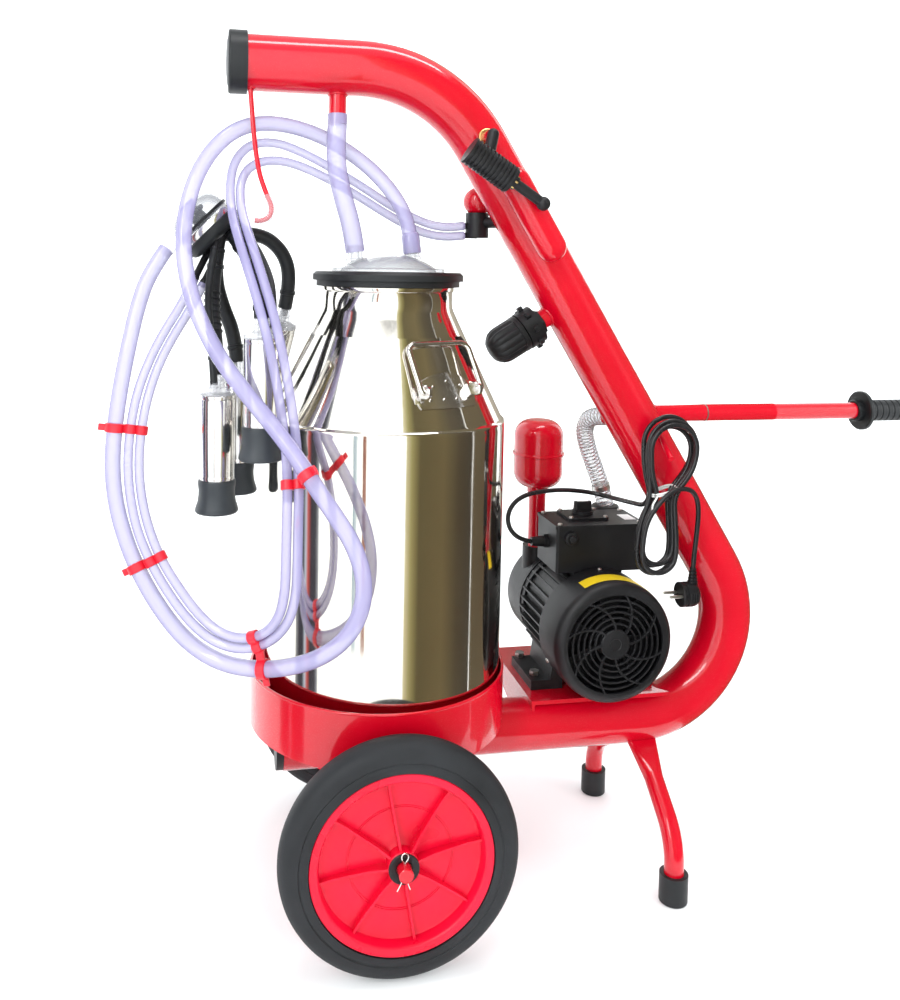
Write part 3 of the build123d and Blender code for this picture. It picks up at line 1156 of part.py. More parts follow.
# ---------------------------------------------------------------- write the pieces
PIECES = {
    "main_frame": main_frame,
    "tube_end_caps": tube_end_caps,
    "cup_hook": cup_hook,
    "bucket_tray": bucket_tray,
    "axle": axle,
    "rim_near": rim_near,
    "rim_far": rim_far,
    "tyre_near": tyre_near,
    "tyre_far": tyre_far,
    "wheel_retainers": wheel_retainers,
    "legs": legs,
    "foot_caps": foot_caps,
    "frame_bolts": frame_bolts,
    "motor_plate": motor_plate,
    "motor_frame": motor_frame,
    "end_shields": end_shields,
    "bearings": bearings,
    "stator_core": stator_core,
    "motor_rotor": motor_rotor,
    "cooling_fan": cooling_fan,
    "fan_cover": fan_cover,
    "terminal_box": terminal_box,
    "terminal_lid": terminal_lid,
    "switch_knob": switch_knob,
    "reset_button": reset_button,
    "cable_gland": cable_gland,
    "pump_housing": pump_housing,
    "pump_rotor": pump_rotor,
    "suction_port": suction_port,
    "exhaust_silencer": exhaust_silencer,
    "suction_hose": suction_hose,
    "regulator_body": regulator_body,
    "regulator_stem": regulator_stem,
    "trap_collar": trap_collar,
    "trap_bowl": trap_bowl,
    "pulsator_body": pulsator_body,
    "pulsator_cap": pulsator_cap,
    "handle_bar": handle_bar,
    "handle_grip": handle_grip,
    "bucket_shell": bucket_shell,
    "bail_near": bail_near,
    "bail_far": bail_far,
    "lid_dome": lid_dome,
    "lid_gasket": lid_gasket,
    "claw_bowl": claw_bowl,
    "claw_cover": claw_cover,
    "cup_shells": cup_shells,
    "cup_liners": cup_liners,
    "cup_adaptors": cup_adaptors,
    "short_milk_tubes": short_milk_tubes,
    "short_pulse_tubes": short_pulse_tubes,
    "milk_hose": milk_hose,
    "vacuum_hose": vacuum_hose,
    "pulse_tube_a": pulse_tube_a,
    "pulse_tube_b": pulse_tube_b,
    "hose_clips": hose_clips,
    "cord_lead": cord_lead,
    "cord_hank": cord_hank,
    "cord_tail": cord_tail,
    "plug": plug,
}
for name, piece in PIECES.items():
    piece.part.label = name
    export_step(piece.part, f"parts/{name}.step")
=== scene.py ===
"""Looks of the mobile milking machine: materials, hoses, cord and detailed pieces over the frame."""
import math
import random

import bmesh
import bpy
from mathutils import Matrix, Vector


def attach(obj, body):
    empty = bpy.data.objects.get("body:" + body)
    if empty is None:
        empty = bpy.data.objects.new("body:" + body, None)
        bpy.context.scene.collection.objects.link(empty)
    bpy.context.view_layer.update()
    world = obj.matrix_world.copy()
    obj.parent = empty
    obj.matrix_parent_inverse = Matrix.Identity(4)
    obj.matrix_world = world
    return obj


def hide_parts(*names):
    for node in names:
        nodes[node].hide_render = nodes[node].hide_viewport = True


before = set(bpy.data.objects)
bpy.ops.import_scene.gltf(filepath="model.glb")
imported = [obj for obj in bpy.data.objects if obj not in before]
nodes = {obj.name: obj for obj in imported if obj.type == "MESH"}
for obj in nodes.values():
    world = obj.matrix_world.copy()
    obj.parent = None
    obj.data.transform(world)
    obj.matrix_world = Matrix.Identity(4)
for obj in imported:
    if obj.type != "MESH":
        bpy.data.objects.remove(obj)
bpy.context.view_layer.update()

UP = Vector((0, 0, 1))
MM = 0.001


def mm(*numbers):
    """A place given in millimetres."""
    return Vector(numbers) * MM


def scaled(profile):
    """A (radius, height) profile given in millimetres."""
    return [(radius * MM, height * MM) for radius, height in profile]


# ---------------------------------------------------------------- materials
def tree_of(name):
    """A new node material and its tree, links and Principled shader."""
    mat = bpy.data.materials.new(name)
    mat.use_nodes = True
    tree = mat.node_tree
    return mat, tree.nodes, tree.links, tree.nodes["Principled BSDF"]


def noise(parts, links, scale, detail=3.0, stretch=(1, 1, 1)):
    """Noise over the row frame, finer along the axes with a larger stretch."""
    place = parts.new("ShaderNodeTexCoord")
    mapping = parts.new("ShaderNodeMapping")
    mapping.inputs["Scale"].default_value = stretch
    texture = parts.new("ShaderNodeTexNoise")
    texture.inputs["Scale"].default_value = scale
    texture.inputs["Detail"].default_value = detail
    links.new(place.outputs["Object"], mapping.inputs["Vector"])
    links.new(mapping.outputs["Vector"], texture.inputs["Vector"])
    return texture.outputs["Fac"]


def ramp(parts, links, fac, stops):
    """Maps a factor through (position, grey or colour) stops."""
    node = parts.new("ShaderNodeValToRGB")
    elements = node.color_ramp.elements
    while len(elements) < len(stops):
        elements.new(0.5)
    for element, (position, value) in zip(elements, stops):
        element.position = position
        element.color = (value, value, value, 1) if isinstance(value, (int, float)) else (*value, 1)
    links.new(fac, node.inputs["Fac"])
    return node.outputs["Color"]


def add_bump(parts, links, shader, heights):
    """Chains bumps of (height, strength, depth in metres) onto the shader's normal."""
    normal = None
    for height, strength, depth in heights:
        bump = parts.new("ShaderNodeBump")
        bump.inputs["Strength"].default_value = strength
        bump.inputs["Distance"].default_value = depth
        links.new(height, bump.inputs["Height"])
        if normal:
            links.new(normal, bump.inputs["Normal"])
        normal = bump.outputs["Normal"]
    links.new(normal, shader.inputs["Normal"])


def finish(name, dark, light, rough, grain=400.0, grain_depth=0.00008, cloud=14.0, stretch=(1, 1, 1),
           **sockets):
    """A surface whose colour and roughness drift between two values, with a fine grain."""
    mat, parts, links, shader = tree_of(name)
    drift = noise(parts, links, cloud, 4, stretch)
    links.new(ramp(parts, links, drift, [(0.3, dark), (0.7, light)]), shader.inputs["Base Color"])
    links.new(ramp(parts, links, drift, [(0.3, rough[0]), (0.7, rough[1])]), shader.inputs["Roughness"])
    add_bump(parts, links, shader, [(noise(parts, links, grain, 2, stretch), 0.5, grain_depth)])
    for socket, value in sockets.items():
        shader.inputs[socket.replace("_", " ")].default_value = value
    return mat


def paint(name, dark, light):
    """Gloss paint: orange peel, faint dust and a clear coat."""
    mat, parts, links, shader = tree_of(name)
    drift = noise(parts, links, 9, 5)
    dust = noise(parts, links, 900, 2)
    links.new(ramp(parts, links, drift, [(0.3, dark), (0.72, light)]), shader.inputs["Base Color"])
    links.new(ramp(parts, links, dust, [(0.45, 0.2), (0.8, 0.34)]), shader.inputs["Roughness"])
    peel = noise(parts, links, 160, 1)
    sag = noise(parts, links, 24, 2)
    add_bump(parts, links, shader, [(sag, 0.25, 0.0012), (peel, 0.3, 0.00016)])
    shader.inputs["Coat Weight"].default_value = 0.9
    shader.inputs["Coat Roughness"].default_value = 0.05
    shader.inputs["Specular IOR Level"].default_value = 0.22
    return mat


def mirror_steel(name, tint, rough, streak=(1, 1, 0.05), dents=0.0004):
    """Polished sheet steel: slow waves in the sheet and fine polishing streaks."""
    mat, parts, links, shader = tree_of(name)
    streaks = noise(parts, links, 220, 3, streak)
    waves = noise(parts, links, 7, 2, (1, 1, 0.35))
    deep = tuple(0.86 * c for c in tint)
    links.new(ramp(parts, links, waves, [(0.3, deep), (0.7, tint)]), shader.inputs["Base Color"])
    links.new(ramp(parts, links, streaks, [(0.3, rough * 0.6), (0.75, rough * 1.5)]),
              shader.inputs["Roughness"])
    add_bump(parts, links, shader, [(waves, 0.25, dents), (streaks, 0.12, 0.00002)])
    shader.inputs["Metallic"].default_value = 1.0
    return mat


def clear_tube(name, edge, middle, solid=(0.5, 0.95), rough=0.1):
    """See-through soft plastic: thin in the middle, dense and tinted towards its edges."""
    mat, parts, links, shader = tree_of(name)
    facing = parts.new("ShaderNodeLayerWeight")
    facing.inputs["Blend"].default_value = 0.35
    tint = ramp(parts, links, facing.outputs["Facing"], [(0.1, middle), (0.85, edge)])
    links.new(tint, shader.inputs["Base Color"])
    cloudy = noise(parts, links, 60, 3)
    density = parts.new("ShaderNodeMapRange")
    density.inputs["To Min"].default_value = solid[0]
    density.inputs["To Max"].default_value = solid[1]
    links.new(facing.outputs["Facing"], density.inputs["Value"])
    links.new(density.outputs["Result"], shader.inputs["Alpha"])
    links.new(ramp(parts, links, cloudy, [(0.3, rough * 0.7), (0.7, rough * 1.5)]),
              shader.inputs["Roughness"])
    add_bump(parts, links, shader, [(cloudy, 0.2, 0.0004)])
    shader.inputs["IOR"].default_value = 1.5
    shader.inputs["Specular IOR Level"].default_value = 0.9
    return mat


RED = paint("red paint", (0.50, 0.0005, 0.010), (0.60, 0.0010, 0.016))
RED_PLASTIC = finish("red wheel plastic", (0.66, 0.001, 0.024), (0.76, 0.002, 0.034), (0.26, 0.38),
                     grain=700, Specular_IOR_Level=0.35)
CLIP_RED = finish("red clip plastic", (0.62, 0.006, 0.02), (0.74, 0.01, 0.03), (0.3, 0.42), grain=900)
STEEL = mirror_steel("mirror steel", (0.83, 0.79, 0.72), 0.07)
CUP_STEEL = mirror_steel("cup steel", (0.80, 0.79, 0.77), 0.16, (1, 1, 0.03), 0.0002)
WIRE_STEEL = mirror_steel("wire steel", (0.80, 0.78, 0.76), 0.14, (1, 1, 1), 0.0001)
ZINC = finish("zinc plate", (0.55, 0.55, 0.52), (0.74, 0.74, 0.72), (0.25, 0.42), grain=900, Metallic=1.0)
BRASS = finish("brass", (0.62, 0.40, 0.14), (0.76, 0.54, 0.22), (0.2, 0.35), grain=900, Metallic=1.0)
TYRE = finish("tyre rubber", (0.010, 0.011, 0.013), (0.024, 0.026, 0.029), (0.5, 0.7), grain=260,
              grain_depth=0.0003, Specular_IOR_Level=0.3)
RUBBER = finish("black rubber", (0.007, 0.008, 0.009), (0.016, 0.018, 0.020), (0.36, 0.52), grain=320,
                grain_depth=0.00012, Specular_IOR_Level=0.35)
GREY_RUBBER = finish("mouthpiece rubber", (0.020, 0.025, 0.030), (0.038, 0.045, 0.052), (0.4, 0.55),
                     grain=420)
BLACK = finish("black moulded plastic", (0.006, 0.006, 0.007), (0.014, 0.014, 0.016), (0.36, 0.52),
               grain=650, grain_depth=0.00014, Specular_IOR_Level=0.35)
BLACK_PAINT = finish("black machine paint", (0.007, 0.007, 0.008), (0.017, 0.017, 0.019), (0.3, 0.48),
                     grain=240, grain_depth=0.0003, Specular_IOR_Level=0.35)
CAP_GREY = finish("grey cap plastic", (0.05, 0.055, 0.06), (0.08, 0.085, 0.09), (0.4, 0.55), grain=500)
CORD_BLACK = finish("cord jacket", (0.010, 0.010, 0.011), (0.020, 0.020, 0.022), (0.24, 0.36), grain=500)
WHITE_TIE = finish("white tie", (0.75, 0.75, 0.72), (0.86, 0.86, 0.84), (0.4, 0.55), grain=600)
LABEL_WHITE = finish("blank white label", (0.76, 0.77, 0.78), (0.85, 0.86, 0.87), (0.3, 0.4), grain=300)
LABEL_YELLOW = finish("blank yellow label", (0.72, 0.50, 0.01), (0.85, 0.62, 0.02), (0.3, 0.42), grain=300)
PVC = clear_tube("clear lavender hose", (0.11, 0.10, 0.26), (0.44, 0.41, 0.66), (0.55, 0.97), 0.06)
SPIRAL_PVC = clear_tube("clear suction hose", (0.26, 0.28, 0.33), (0.62, 0.65, 0.72), (0.3, 0.85))
CLEAR = clear_tube("clear lid plastic", (0.16, 0.17, 0.19), (0.55, 0.57, 0.60), (0.10, 0.75), 0.04)
CUP_CLEAR = clear_tube("clear cup plastic", (0.28, 0.29, 0.32), (0.74, 0.75, 0.78), (0.22, 0.75), 0.06)


def dress(node, *mats):
    """Gives a CAD node its material in every slot."""
    mesh = nodes[node].data
    mesh.materials.clear()
    for mat in mats:
        mesh.materials.append(mat)


# ---------------------------------------------------------------- mesh and curve pieces
def add_object(name, data, mat, body, stands_for=()):
    """Links a piece, gives it its material and body, and hides the CAD nodes that it stands for."""
    piece = bpy.data.objects.new(name, data)
    bpy.context.scene.collection.objects.link(piece)
    data.materials.append(mat)
    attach(piece, body)
    if stands_for:
        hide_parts(*stands_for)
    return piece


def make_mesh(name, verts, faces, angle=35):
    """A smooth mesh that stays sharp where faces meet at more than an angle in degrees."""
    mesh = bpy.data.meshes.new(name)
    mesh.from_pydata([tuple(v) for v in verts], [], faces)
    mesh.validate()
    mesh.shade_smooth()
    mesh.set_sharp_from_angle(angle=math.radians(angle))
    return mesh


def axes_for(axis):
    """Two directions square to an axis."""
    axis = Vector(axis).normalized()
    helper = UP if abs(axis.z) < 0.9 else Vector((1, 0, 0))
    first = axis.cross(helper).normalized()
    return axis, first, axis.cross(first)


def lathe(profile, origin, axis, steps=96, wave=None):
    """Turns (radius, height) points about an axis. wave(angle, radius, height) may change a radius."""
    axis, first, second = axes_for(axis)
    origin = Vector(origin)
    verts = []
    for radius, height in profile:
        for step in range(steps):
            turn = 2 * math.pi * step / steps
            r = wave(turn, radius, height) if wave else radius
            verts.append(origin + axis * height + (first * math.cos(turn) + second * math.sin(turn)) * r)
    faces = []
    for row in range(len(profile) - 1):
        for step in range(steps):
            after = (step + 1) % steps
            a, b = row * steps + step, row * steps + after
            faces.append((a, b, b + steps, a + steps))
    for row, flip in ((0, True), (len(profile) - 1, False)):
        if 1e-6 < profile[row][0]:
            ring = [row * steps + step for step in range(steps)]
            faces.append(tuple(reversed(ring)) if flip else tuple(ring))
    return verts, faces


def turned(name, profile, origin, axis, mat, body, stands_for=(), steps=96, wave=None, angle=35):
    """A closed turned piece as an object."""
    verts, faces = lathe(profile, origin, axis, steps, wave)
    return add_object(name, make_mesh(name, verts, faces, angle), mat, body, stands_for)


def join_shapes(shapes):
    """Puts several (verts, faces) together."""
    verts, faces = [], []
    for more_verts, more_faces in shapes:
        start = len(verts)
        verts += more_verts
        faces += [tuple(start + i for i in face) for face in more_faces]
    return verts, faces


def block(centre, size, rows=(Vector((1, 0, 0)), Vector((0, 1, 0)), UP), edge=0.001):
    """A box with bevelled edges, as verts and faces; rows are its own directions."""
    half = [s / 2 for s in size]
    edge = min(edge, *half)
    verts, faces = [], []
    corners = {}
    for sx in (-1, 1):
        for sy in (-1, 1):
            for sz in (-1, 1):
                for inner in range(3):
                    offsets = [h - (0 if i == inner else edge) for i, h in enumerate(half)]
                    signs = (sx, sy, sz)
                    point = Vector(centre)
                    for row, sign, offset in zip(rows, signs, offsets):
                        point = point + row * (sign * offset)
                    corners[(sx, sy, sz, inner)] = len(verts)
                    verts.append(point)
    for inner in range(3):
        u, v = [i for i in range(3) if i != inner]
        for sign in (-1, 1):
            loop = []
            for su, sv in ((-1, -1), (1, -1), (1, 1), (-1, 1)):
                key = [0, 0, 0]
                key[inner], key[u], key[v] = sign, su, sv
                loop.append(corners[(*key, inner)])
            faces.append(tuple(loop))
    for along in range(3):
        u, v = [i for i in range(3) if i != along]
        for su in (-1, 1):
            for sv in (-1, 1):
                loop = []
                for end, inner in ((-1, u), (1, u), (1, v), (-1, v)):
                    key = [0, 0, 0]
                    key[along], key[u], key[v] = end, su, sv
                    loop.append(corners[(*key, inner)])
                faces.append(tuple(loop))
    for sx in (-1, 1):
        for sy in (-1, 1):
            for sz in (-1, 1):
                faces.append(tuple(corners[(sx, sy, sz, inner)] for inner in range(3)))
    return verts, faces


def outward(mesh):
    """Turns every face of a closed mesh outwards."""
    work = bmesh.new()
    work.from_mesh(mesh)
    bmesh.ops.recalc_face_normals(work, faces=work.faces)
    work.to_mesh(mesh)
    work.free()
    return mesh


def solid_piece(name, shapes, mat, body, stands_for=(), angle=35):
    """Several closed shapes as one object."""
    verts, faces = join_shapes(shapes)
    return add_object(name, outward(make_mesh(name, verts, faces, angle)), mat, body, stands_for)


def smooth_line(name, points, radius, mat, body, stands_for=(), sides=6, cyclic=False):
    """A round bar, hose or cord along a NURBS line with these control points."""
    curve = bpy.data.curves.new(name, "CURVE")
    curve.dimensions = "3D"
    curve.bevel_depth = radius
    curve.bevel_resolution = sides
    curve.use_fill_caps = True
    curve.resolution_u = 8
    spline = curve.splines.new("NURBS")
    spline.points.add(len(points) - 1)
    for place, point in zip(spline.points, points):
        place.co = (*point, 1)
    spline.order_u = 3
    spline.use_endpoint_u = not cyclic
    spline.use_cyclic_u = cyclic
    return add_object(name, curve, mat, body, stands_for)


def path_of(curve_object):
    """Points along a curve piece's own line, from its first end to its last."""
    bare = curve_object.copy()
    bare.data = curve_object.data.copy()
    bare.data.bevel_depth = 0
    bare.parent = None
    mesh = bpy.data.meshes.new_from_object(bare)
    points = [v.co.copy() for v in mesh.vertices]
    bpy.data.objects.remove(bare)
    bpy.data.meshes.remove(mesh)
    return points


def near_point(points, place):
    """Index of the path point nearest to a place."""
    place = Vector(place)
    return min(range(len(points)), key=lambda i: (points[i] - place).length)


def band_around(points, index, radius, width):
    """A short ring around a path at one of its points, as verts and faces."""
    run = (points[min(index + 2, len(points) - 1)] - points[max(index - 2, 0)]).normalized()
    profile = [(radius * 0.9, -width / 2), (radius, -width / 2 + 0.0006), (radius, width / 2 - 0.0006),
               (radius * 0.9, width / 2)]
    return lathe(profile, points[index], run, 28)


def sweep_tube(points, radius, sides=12):
    """A round bar along a fine row of points, as verts and faces."""
    verts, faces = [], []
    run = (points[1] - points[0]).normalized()
    _, side, _ = axes_for(run)
    for index, point in enumerate(points):
        before = points[max(index - 1, 0)]
        after = points[min(index + 1, len(points) - 1)]
        run = (after - before).normalized()
        side = (side - run * side.dot(run)).normalized()
        other = run.cross(side)
        for step in range(sides):
            turn = 2 * math.pi * step / sides
            verts.append(point + (side * math.cos(turn) + other * math.sin(turn)) * radius)
    for row in range(len(points) - 1):
        for step in range(sides):
            after = (step + 1) % sides
            a, b = row * sides + step, row * sides + after
            faces.append((a, b, b + sides, a + sides))
    faces.append(tuple(reversed(range(sides))))
    faces.append(tuple(range(len(verts) - sides, len(verts))))
    return verts, faces


def ring(profile, origin, axis, steps=96, wave=None):
    """Turns a closed (radius, height) section about an axis."""
    verts, faces = lathe(profile, origin, axis, steps, wave)
    faces = [face for face in faces if len(face) == 4]
    last = (len(profile) - 1) * steps
    for step in range(steps):
        after = (step + 1) % steps
        faces.append((last + step, last + after, after, step))
    return verts, faces


def turned_ring(name, profile, origin, axis, mat, body, stands_for=(), steps=96, wave=None, angle=35):
    """A turned piece with a closed section given in millimetres."""
    shape = ring(scaled(profile), origin, axis, steps, wave)
    return solid_piece(name, [shape], mat, body, stands_for, angle)


def prism(outline, low, high, frame_at):
    """Extrudes (u, v) points between two depths. frame_at maps (u, v, depth) to a place."""
    count = len(outline)
    verts = [frame_at(u, v, depth) for depth in (low, high) for u, v in outline]
    faces = [tuple(range(count)), tuple(reversed(range(count, 2 * count)))]
    for i in range(count):
        after = (i + 1) % count
        faces.append((i, i + count, after + count, after))
    return verts, faces




# ---------------------------------------------------------------- camera
CAMERA_PLACE = (-530.96, -1320.98, 866.87)
CAMERA_YAW, CAMERA_PITCH, CAMERA_ROLL = -10.58, 3.58, 0.88
SENSOR_WIDTH, LENS = 36, 34.54
SHIFT_X, SHIFT_Y = 0.0622, -0.1715


def place_camera():
    """The camera, in front of the bucket, turned slightly right and tipped slightly down."""
    data = bpy.data.cameras.new("camera")
    camera = bpy.data.objects.new("camera", data)
    bpy.context.scene.collection.objects.link(camera)
    yaw, pitch, roll = (math.radians(angle) for angle in (CAMERA_YAW, CAMERA_PITCH, CAMERA_ROLL))
    forward = Vector((-math.sin(yaw) * math.cos(pitch), math.cos(yaw) * math.cos(pitch), -math.sin(pitch)))
    right = Vector((math.cos(yaw), math.sin(yaw), 0))
    up = right.cross(forward)
    tilted_right = right * math.cos(roll) + up * math.sin(roll)
    tilted_up = up * math.cos(roll) - right * math.sin(roll)
    turn = Matrix((tilted_right, tilted_up, -forward)).transposed().to_4x4()
    camera.matrix_world = Matrix.Translation(mm(*CAMERA_PLACE)) @ turn
    data.sensor_width = SENSOR_WIDTH
    data.lens = LENS
    data.shift_x = SHIFT_X
    data.shift_y = SHIFT_Y
    bpy.context.scene.camera = camera


place_camera()

# ---------------------------------------------------------------- hoses and cord
HOSE_R = 0.0135
MILK_R = 0.0105
PULSE_R = 0.00625
CORD_R = 0.0035
SHORT_MILK_R = 0.0100
SHORT_PULSE_R = 0.0050
VACUUM_ROUTE = [
    (-0.359, 0, 1.063), (-0.362, 0, 1.017), (-0.351, 0, 0.967), (-0.337, 0, 0.923), (-0.332, 0, 0.889),
]
MILK_ROUTE = [
    (-0.251, 0, 0.889), (-0.255, 0.004, 0.928), (-0.273, 0.014, 0.968), (-0.304, 0.024, 1.004),
    (-0.344, 0.03, 1.034), (-0.388, 0.026, 1.054), (-0.434, 0.014, 1.063), (-0.476, 0.004, 1.06),
    (-0.512, -0.006, 1.04), (-0.542, -0.022, 1), (-0.56, -0.04, 0.948), (-0.565, -0.055, 0.895),
    (-0.558, -0.07, 0.843), (-0.541, -0.085, 0.794), (-0.516, -0.102, 0.748), (-0.485, -0.12, 0.708),
    (-0.454, -0.138, 0.672), (-0.426, -0.16, 0.636), (-0.403, -0.181, 0.601), (-0.38, -0.194, 0.568),
    (-0.358, -0.2, 0.533), (-0.345, -0.202, 0.492), (-0.348, -0.2, 0.452), (-0.366, -0.195, 0.417),
    (-0.396, -0.182, 0.39), (-0.434, -0.162, 0.372), (-0.477, -0.137, 0.362), (-0.521, -0.114, 0.366),
    (-0.56, -0.094, 0.388), (-0.592, -0.078, 0.425), (-0.618, -0.064, 0.467), (-0.637, -0.052, 0.51),
    (-0.65, -0.043, 0.556), (-0.655, -0.037, 0.604), (-0.652, -0.032, 0.654), (-0.645, -0.026, 0.706),
    (-0.635, -0.02, 0.76), (-0.624, -0.012, 0.812), (-0.61, -0.003, 0.855), (-0.588, 0.008, 0.888),
]
PULSE_ROUTE_A = [
    (-0.163, 0.053, 0.917), (-0.192, 0.05, 0.913), (-0.23, 0.048, 0.92), (-0.276, 0.044, 0.942),
    (-0.324, 0.04, 0.97), (-0.366, 0.037, 0.992), (-0.402, 0.034, 1.007), (-0.43, 0.03, 1.014),
    (-0.457, 0.0225, 1.013), (-0.479, 0.009, 1.001), (-0.49, -0.007, 0.98), (-0.491, -0.025, 0.954),
    (-0.487, -0.042, 0.929),
    (-0.475, -0.071, 0.889), (-0.461, -0.099, 0.842), (-0.448, -0.118, 0.794), (-0.437, -0.121, 0.743),
    (-0.428, -0.119, 0.692), (-0.422, -0.131, 0.642), (-0.421, -0.153, 0.596), (-0.423, -0.167, 0.552),
    (-0.424, -0.174, 0.51), (-0.425, -0.174, 0.467), (-0.434, -0.166, 0.429), (-0.455, -0.151, 0.401),
    (-0.488, -0.133, 0.386), (-0.524, -0.116, 0.392), (-0.554, -0.1, 0.414), (-0.58, -0.084, 0.445),
    (-0.603, -0.07, 0.481), (-0.621, -0.058, 0.52), (-0.631, -0.049, 0.562), (-0.635, -0.042, 0.606),
    (-0.632, -0.036, 0.653), (-0.624, -0.029, 0.698), (-0.609, -0.02, 0.74), (-0.59, -0.01, 0.778),
    (-0.568, 0.002, 0.813), (-0.551, 0.014, 0.848),
]
PULSE_ROUTE_B = [
    (-0.163, 0.053, 0.931), (-0.192, 0.05, 0.927), (-0.226, 0.048, 0.934), (-0.27, 0.044, 0.954),
    (-0.316, 0.04, 0.982), (-0.361, 0.038, 1.007), (-0.402, 0.036, 1.027), (-0.44, 0.033, 1.04),
    (-0.475, 0.026, 1.036), (-0.498, 0.012, 1.011), (-0.505, -0.01, 0.972), (-0.501, -0.04, 0.929),
    (-0.489, -0.071, 0.885), (-0.475, -0.099, 0.838), (-0.462, -0.118, 0.79), (-0.451, -0.121, 0.741),
    (-0.442, -0.119, 0.69), (-0.436, -0.131, 0.642), (-0.435, -0.153, 0.596), (-0.437, -0.167, 0.552),
    (-0.438, -0.174, 0.51), (-0.439, -0.174, 0.469), (-0.446, -0.166, 0.435), (-0.463, -0.151, 0.411),
    (-0.49, -0.133, 0.4), (-0.518, -0.116, 0.404), (-0.544, -0.1, 0.424), (-0.568, -0.084, 0.453),
    (-0.591, -0.07, 0.487), (-0.607, -0.058, 0.524), (-0.617, -0.049, 0.564), (-0.621, -0.042, 0.606),
    (-0.618, -0.036, 0.651), (-0.61, -0.029, 0.694), (-0.597, -0.02, 0.734), (-0.578, -0.01, 0.772),
    (-0.556, 0.002, 0.807), (-0.539, 0.014, 0.842),
]
SUCTION_ROUTE = [
    (0.113, 0.148, 0.484), (0.104, 0.147, 0.516), (0.09, 0.143, 0.548), (0.074, 0.134, 0.58),
    (0.061, 0.12, 0.61), (0.056, 0.1, 0.632), (0.06, 0.077, 0.643), (0.07, 0.056, 0.645),
]

vacuum_line = smooth_line("vacuum_hose_line", VACUUM_ROUTE, HOSE_R, PVC, "frame",
                          ["vacuum_hose"], 8)
milk_line = smooth_line("milk_hose_line", MILK_ROUTE, MILK_R, PVC, "frame", ["milk_hose"], 8)
pulse_line_a = smooth_line("pulse_line_a", PULSE_ROUTE_A, PULSE_R, PVC, "frame",
                           ["pulse_tube_a"])
pulse_line_b = smooth_line("pulse_line_b", PULSE_ROUTE_B, PULSE_R, PVC, "frame",
                           ["pulse_tube_b"])
suction_line = smooth_line("suction_hose_line", SUCTION_ROUTE, HOSE_R, SPIRAL_PVC, "frame",
                           ["suction_hose"], 8)


def helix_on(points, radius, pitch):
    """Points of a helix round a fine row of points."""
    run = (points[1] - points[0]).normalized()
    _, side, _ = axes_for(run)
    found, travelled = [], 0.0
    for index in range(len(points) - 1):
        first, second = points[index], points[index + 1]
        gap = second - first
        run = gap.normalized()
        side = (side - run * side.dot(run)).normalized()
        other = run.cross(side)
        count = max(1, round(gap.length / (pitch / 14)))
        for step in range(count):
            turn = 2 * math.pi * (travelled + gap.length * step / count) / pitch
            round_it = side * math.cos(turn) + other * math.sin(turn)
            found.append(first + gap * step / count + round_it * radius)
        travelled += gap.length
    return found


suction_path = path_of(suction_line)
spiral_shape = sweep_tube(helix_on(suction_path, 0.0134, 0.0068), 0.0009, 6)
spiral = solid_piece("suction_hose_spiral", [spiral_shape], ZINC, "frame")
suction_clamp = solid_piece("suction_hose_clamp", [band_around(suction_path, 5, 0.0152, 0.009)], ZINC,
                            "frame")
vacuum_sleeve = turned_ring("vacuum_hose_sleeve", [(12.1, 0), (13.5, 0), (13.7, 13), (13.2, 14), (12.1, 14)],
                            mm(-359, 0, 1063), UP, PVC, "frame", steps=48)

milk_path, pulse_path_a, pulse_path_b = path_of(milk_line), path_of(pulse_line_a), path_of(pulse_line_b)
vacuum_path = path_of(vacuum_line)

# clips that hold the milk hose and the pulse tubes together
CLIPS = (mm(-640, -36, 654), mm(-615, -66, 477), mm(-470, -148, 392), mm(-420, -160, 602))
HELD = ((milk_path, MILK_R), (pulse_path_a, PULSE_R), (pulse_path_b, PULSE_R))
clip_shapes = []
for place in CLIPS:
    centres = []
    for points, radius in HELD:
        index = near_point(points, place)
        clip_shapes.append(band_around(points, index, radius + 0.0022, 0.012))
        centres.append((points[index], radius, (points[index + 1] - points[index - 1]).normalized()))
    for (first, first_r, run), (second, second_r, _) in ((centres[0], centres[1]), (centres[1], centres[2])):
        across = second - first
        across = across - run * across.dot(run)
        if across.length < 0.004:
            continue
        towards = across.normalized()
        rows = (towards, run, towards.cross(run))
        clip_shapes.append(block((first + second) / 2, (across.length, 0.011, 0.006), rows))
    towards = (centres[0][0] - centres[1][0]).normalized()
    rows = (towards, centres[0][2], towards.cross(centres[0][2]))
    tab = centres[0][0] + towards * (centres[0][1] + 0.006)
    clip_shapes.append(block(tab, (0.011, 0.009, 0.0035), rows))
solid_piece("hose_clip_set", clip_shapes, CLIP_RED, "frame", ["hose_clips"])

# power cord: lead from the gland, a pinched hank on the peg, and the tail down to the plug
LEAD = [
    (-48, 50, 456), (-66, 48, 460), (-84, 45, 476), (-90, 42, 498), (-80, 44, 518), (-56, 54, 528),
    (-20, 72, 528), (20, 92, 524), (60, 100, 518), (86, 84, 514), (95, 48, 516), (94, 6, 522),
    (95, -32, 527),
]


def bow(centre, radius, angles):
    """Corners of a round end about a centre, outside its circle."""
    reach = radius / math.cos(math.radians(18))
    return [(centre[0] + reach * math.cos(math.radians(a)), centre[1] + reach * math.sin(math.radians(a)))
            for a in angles]


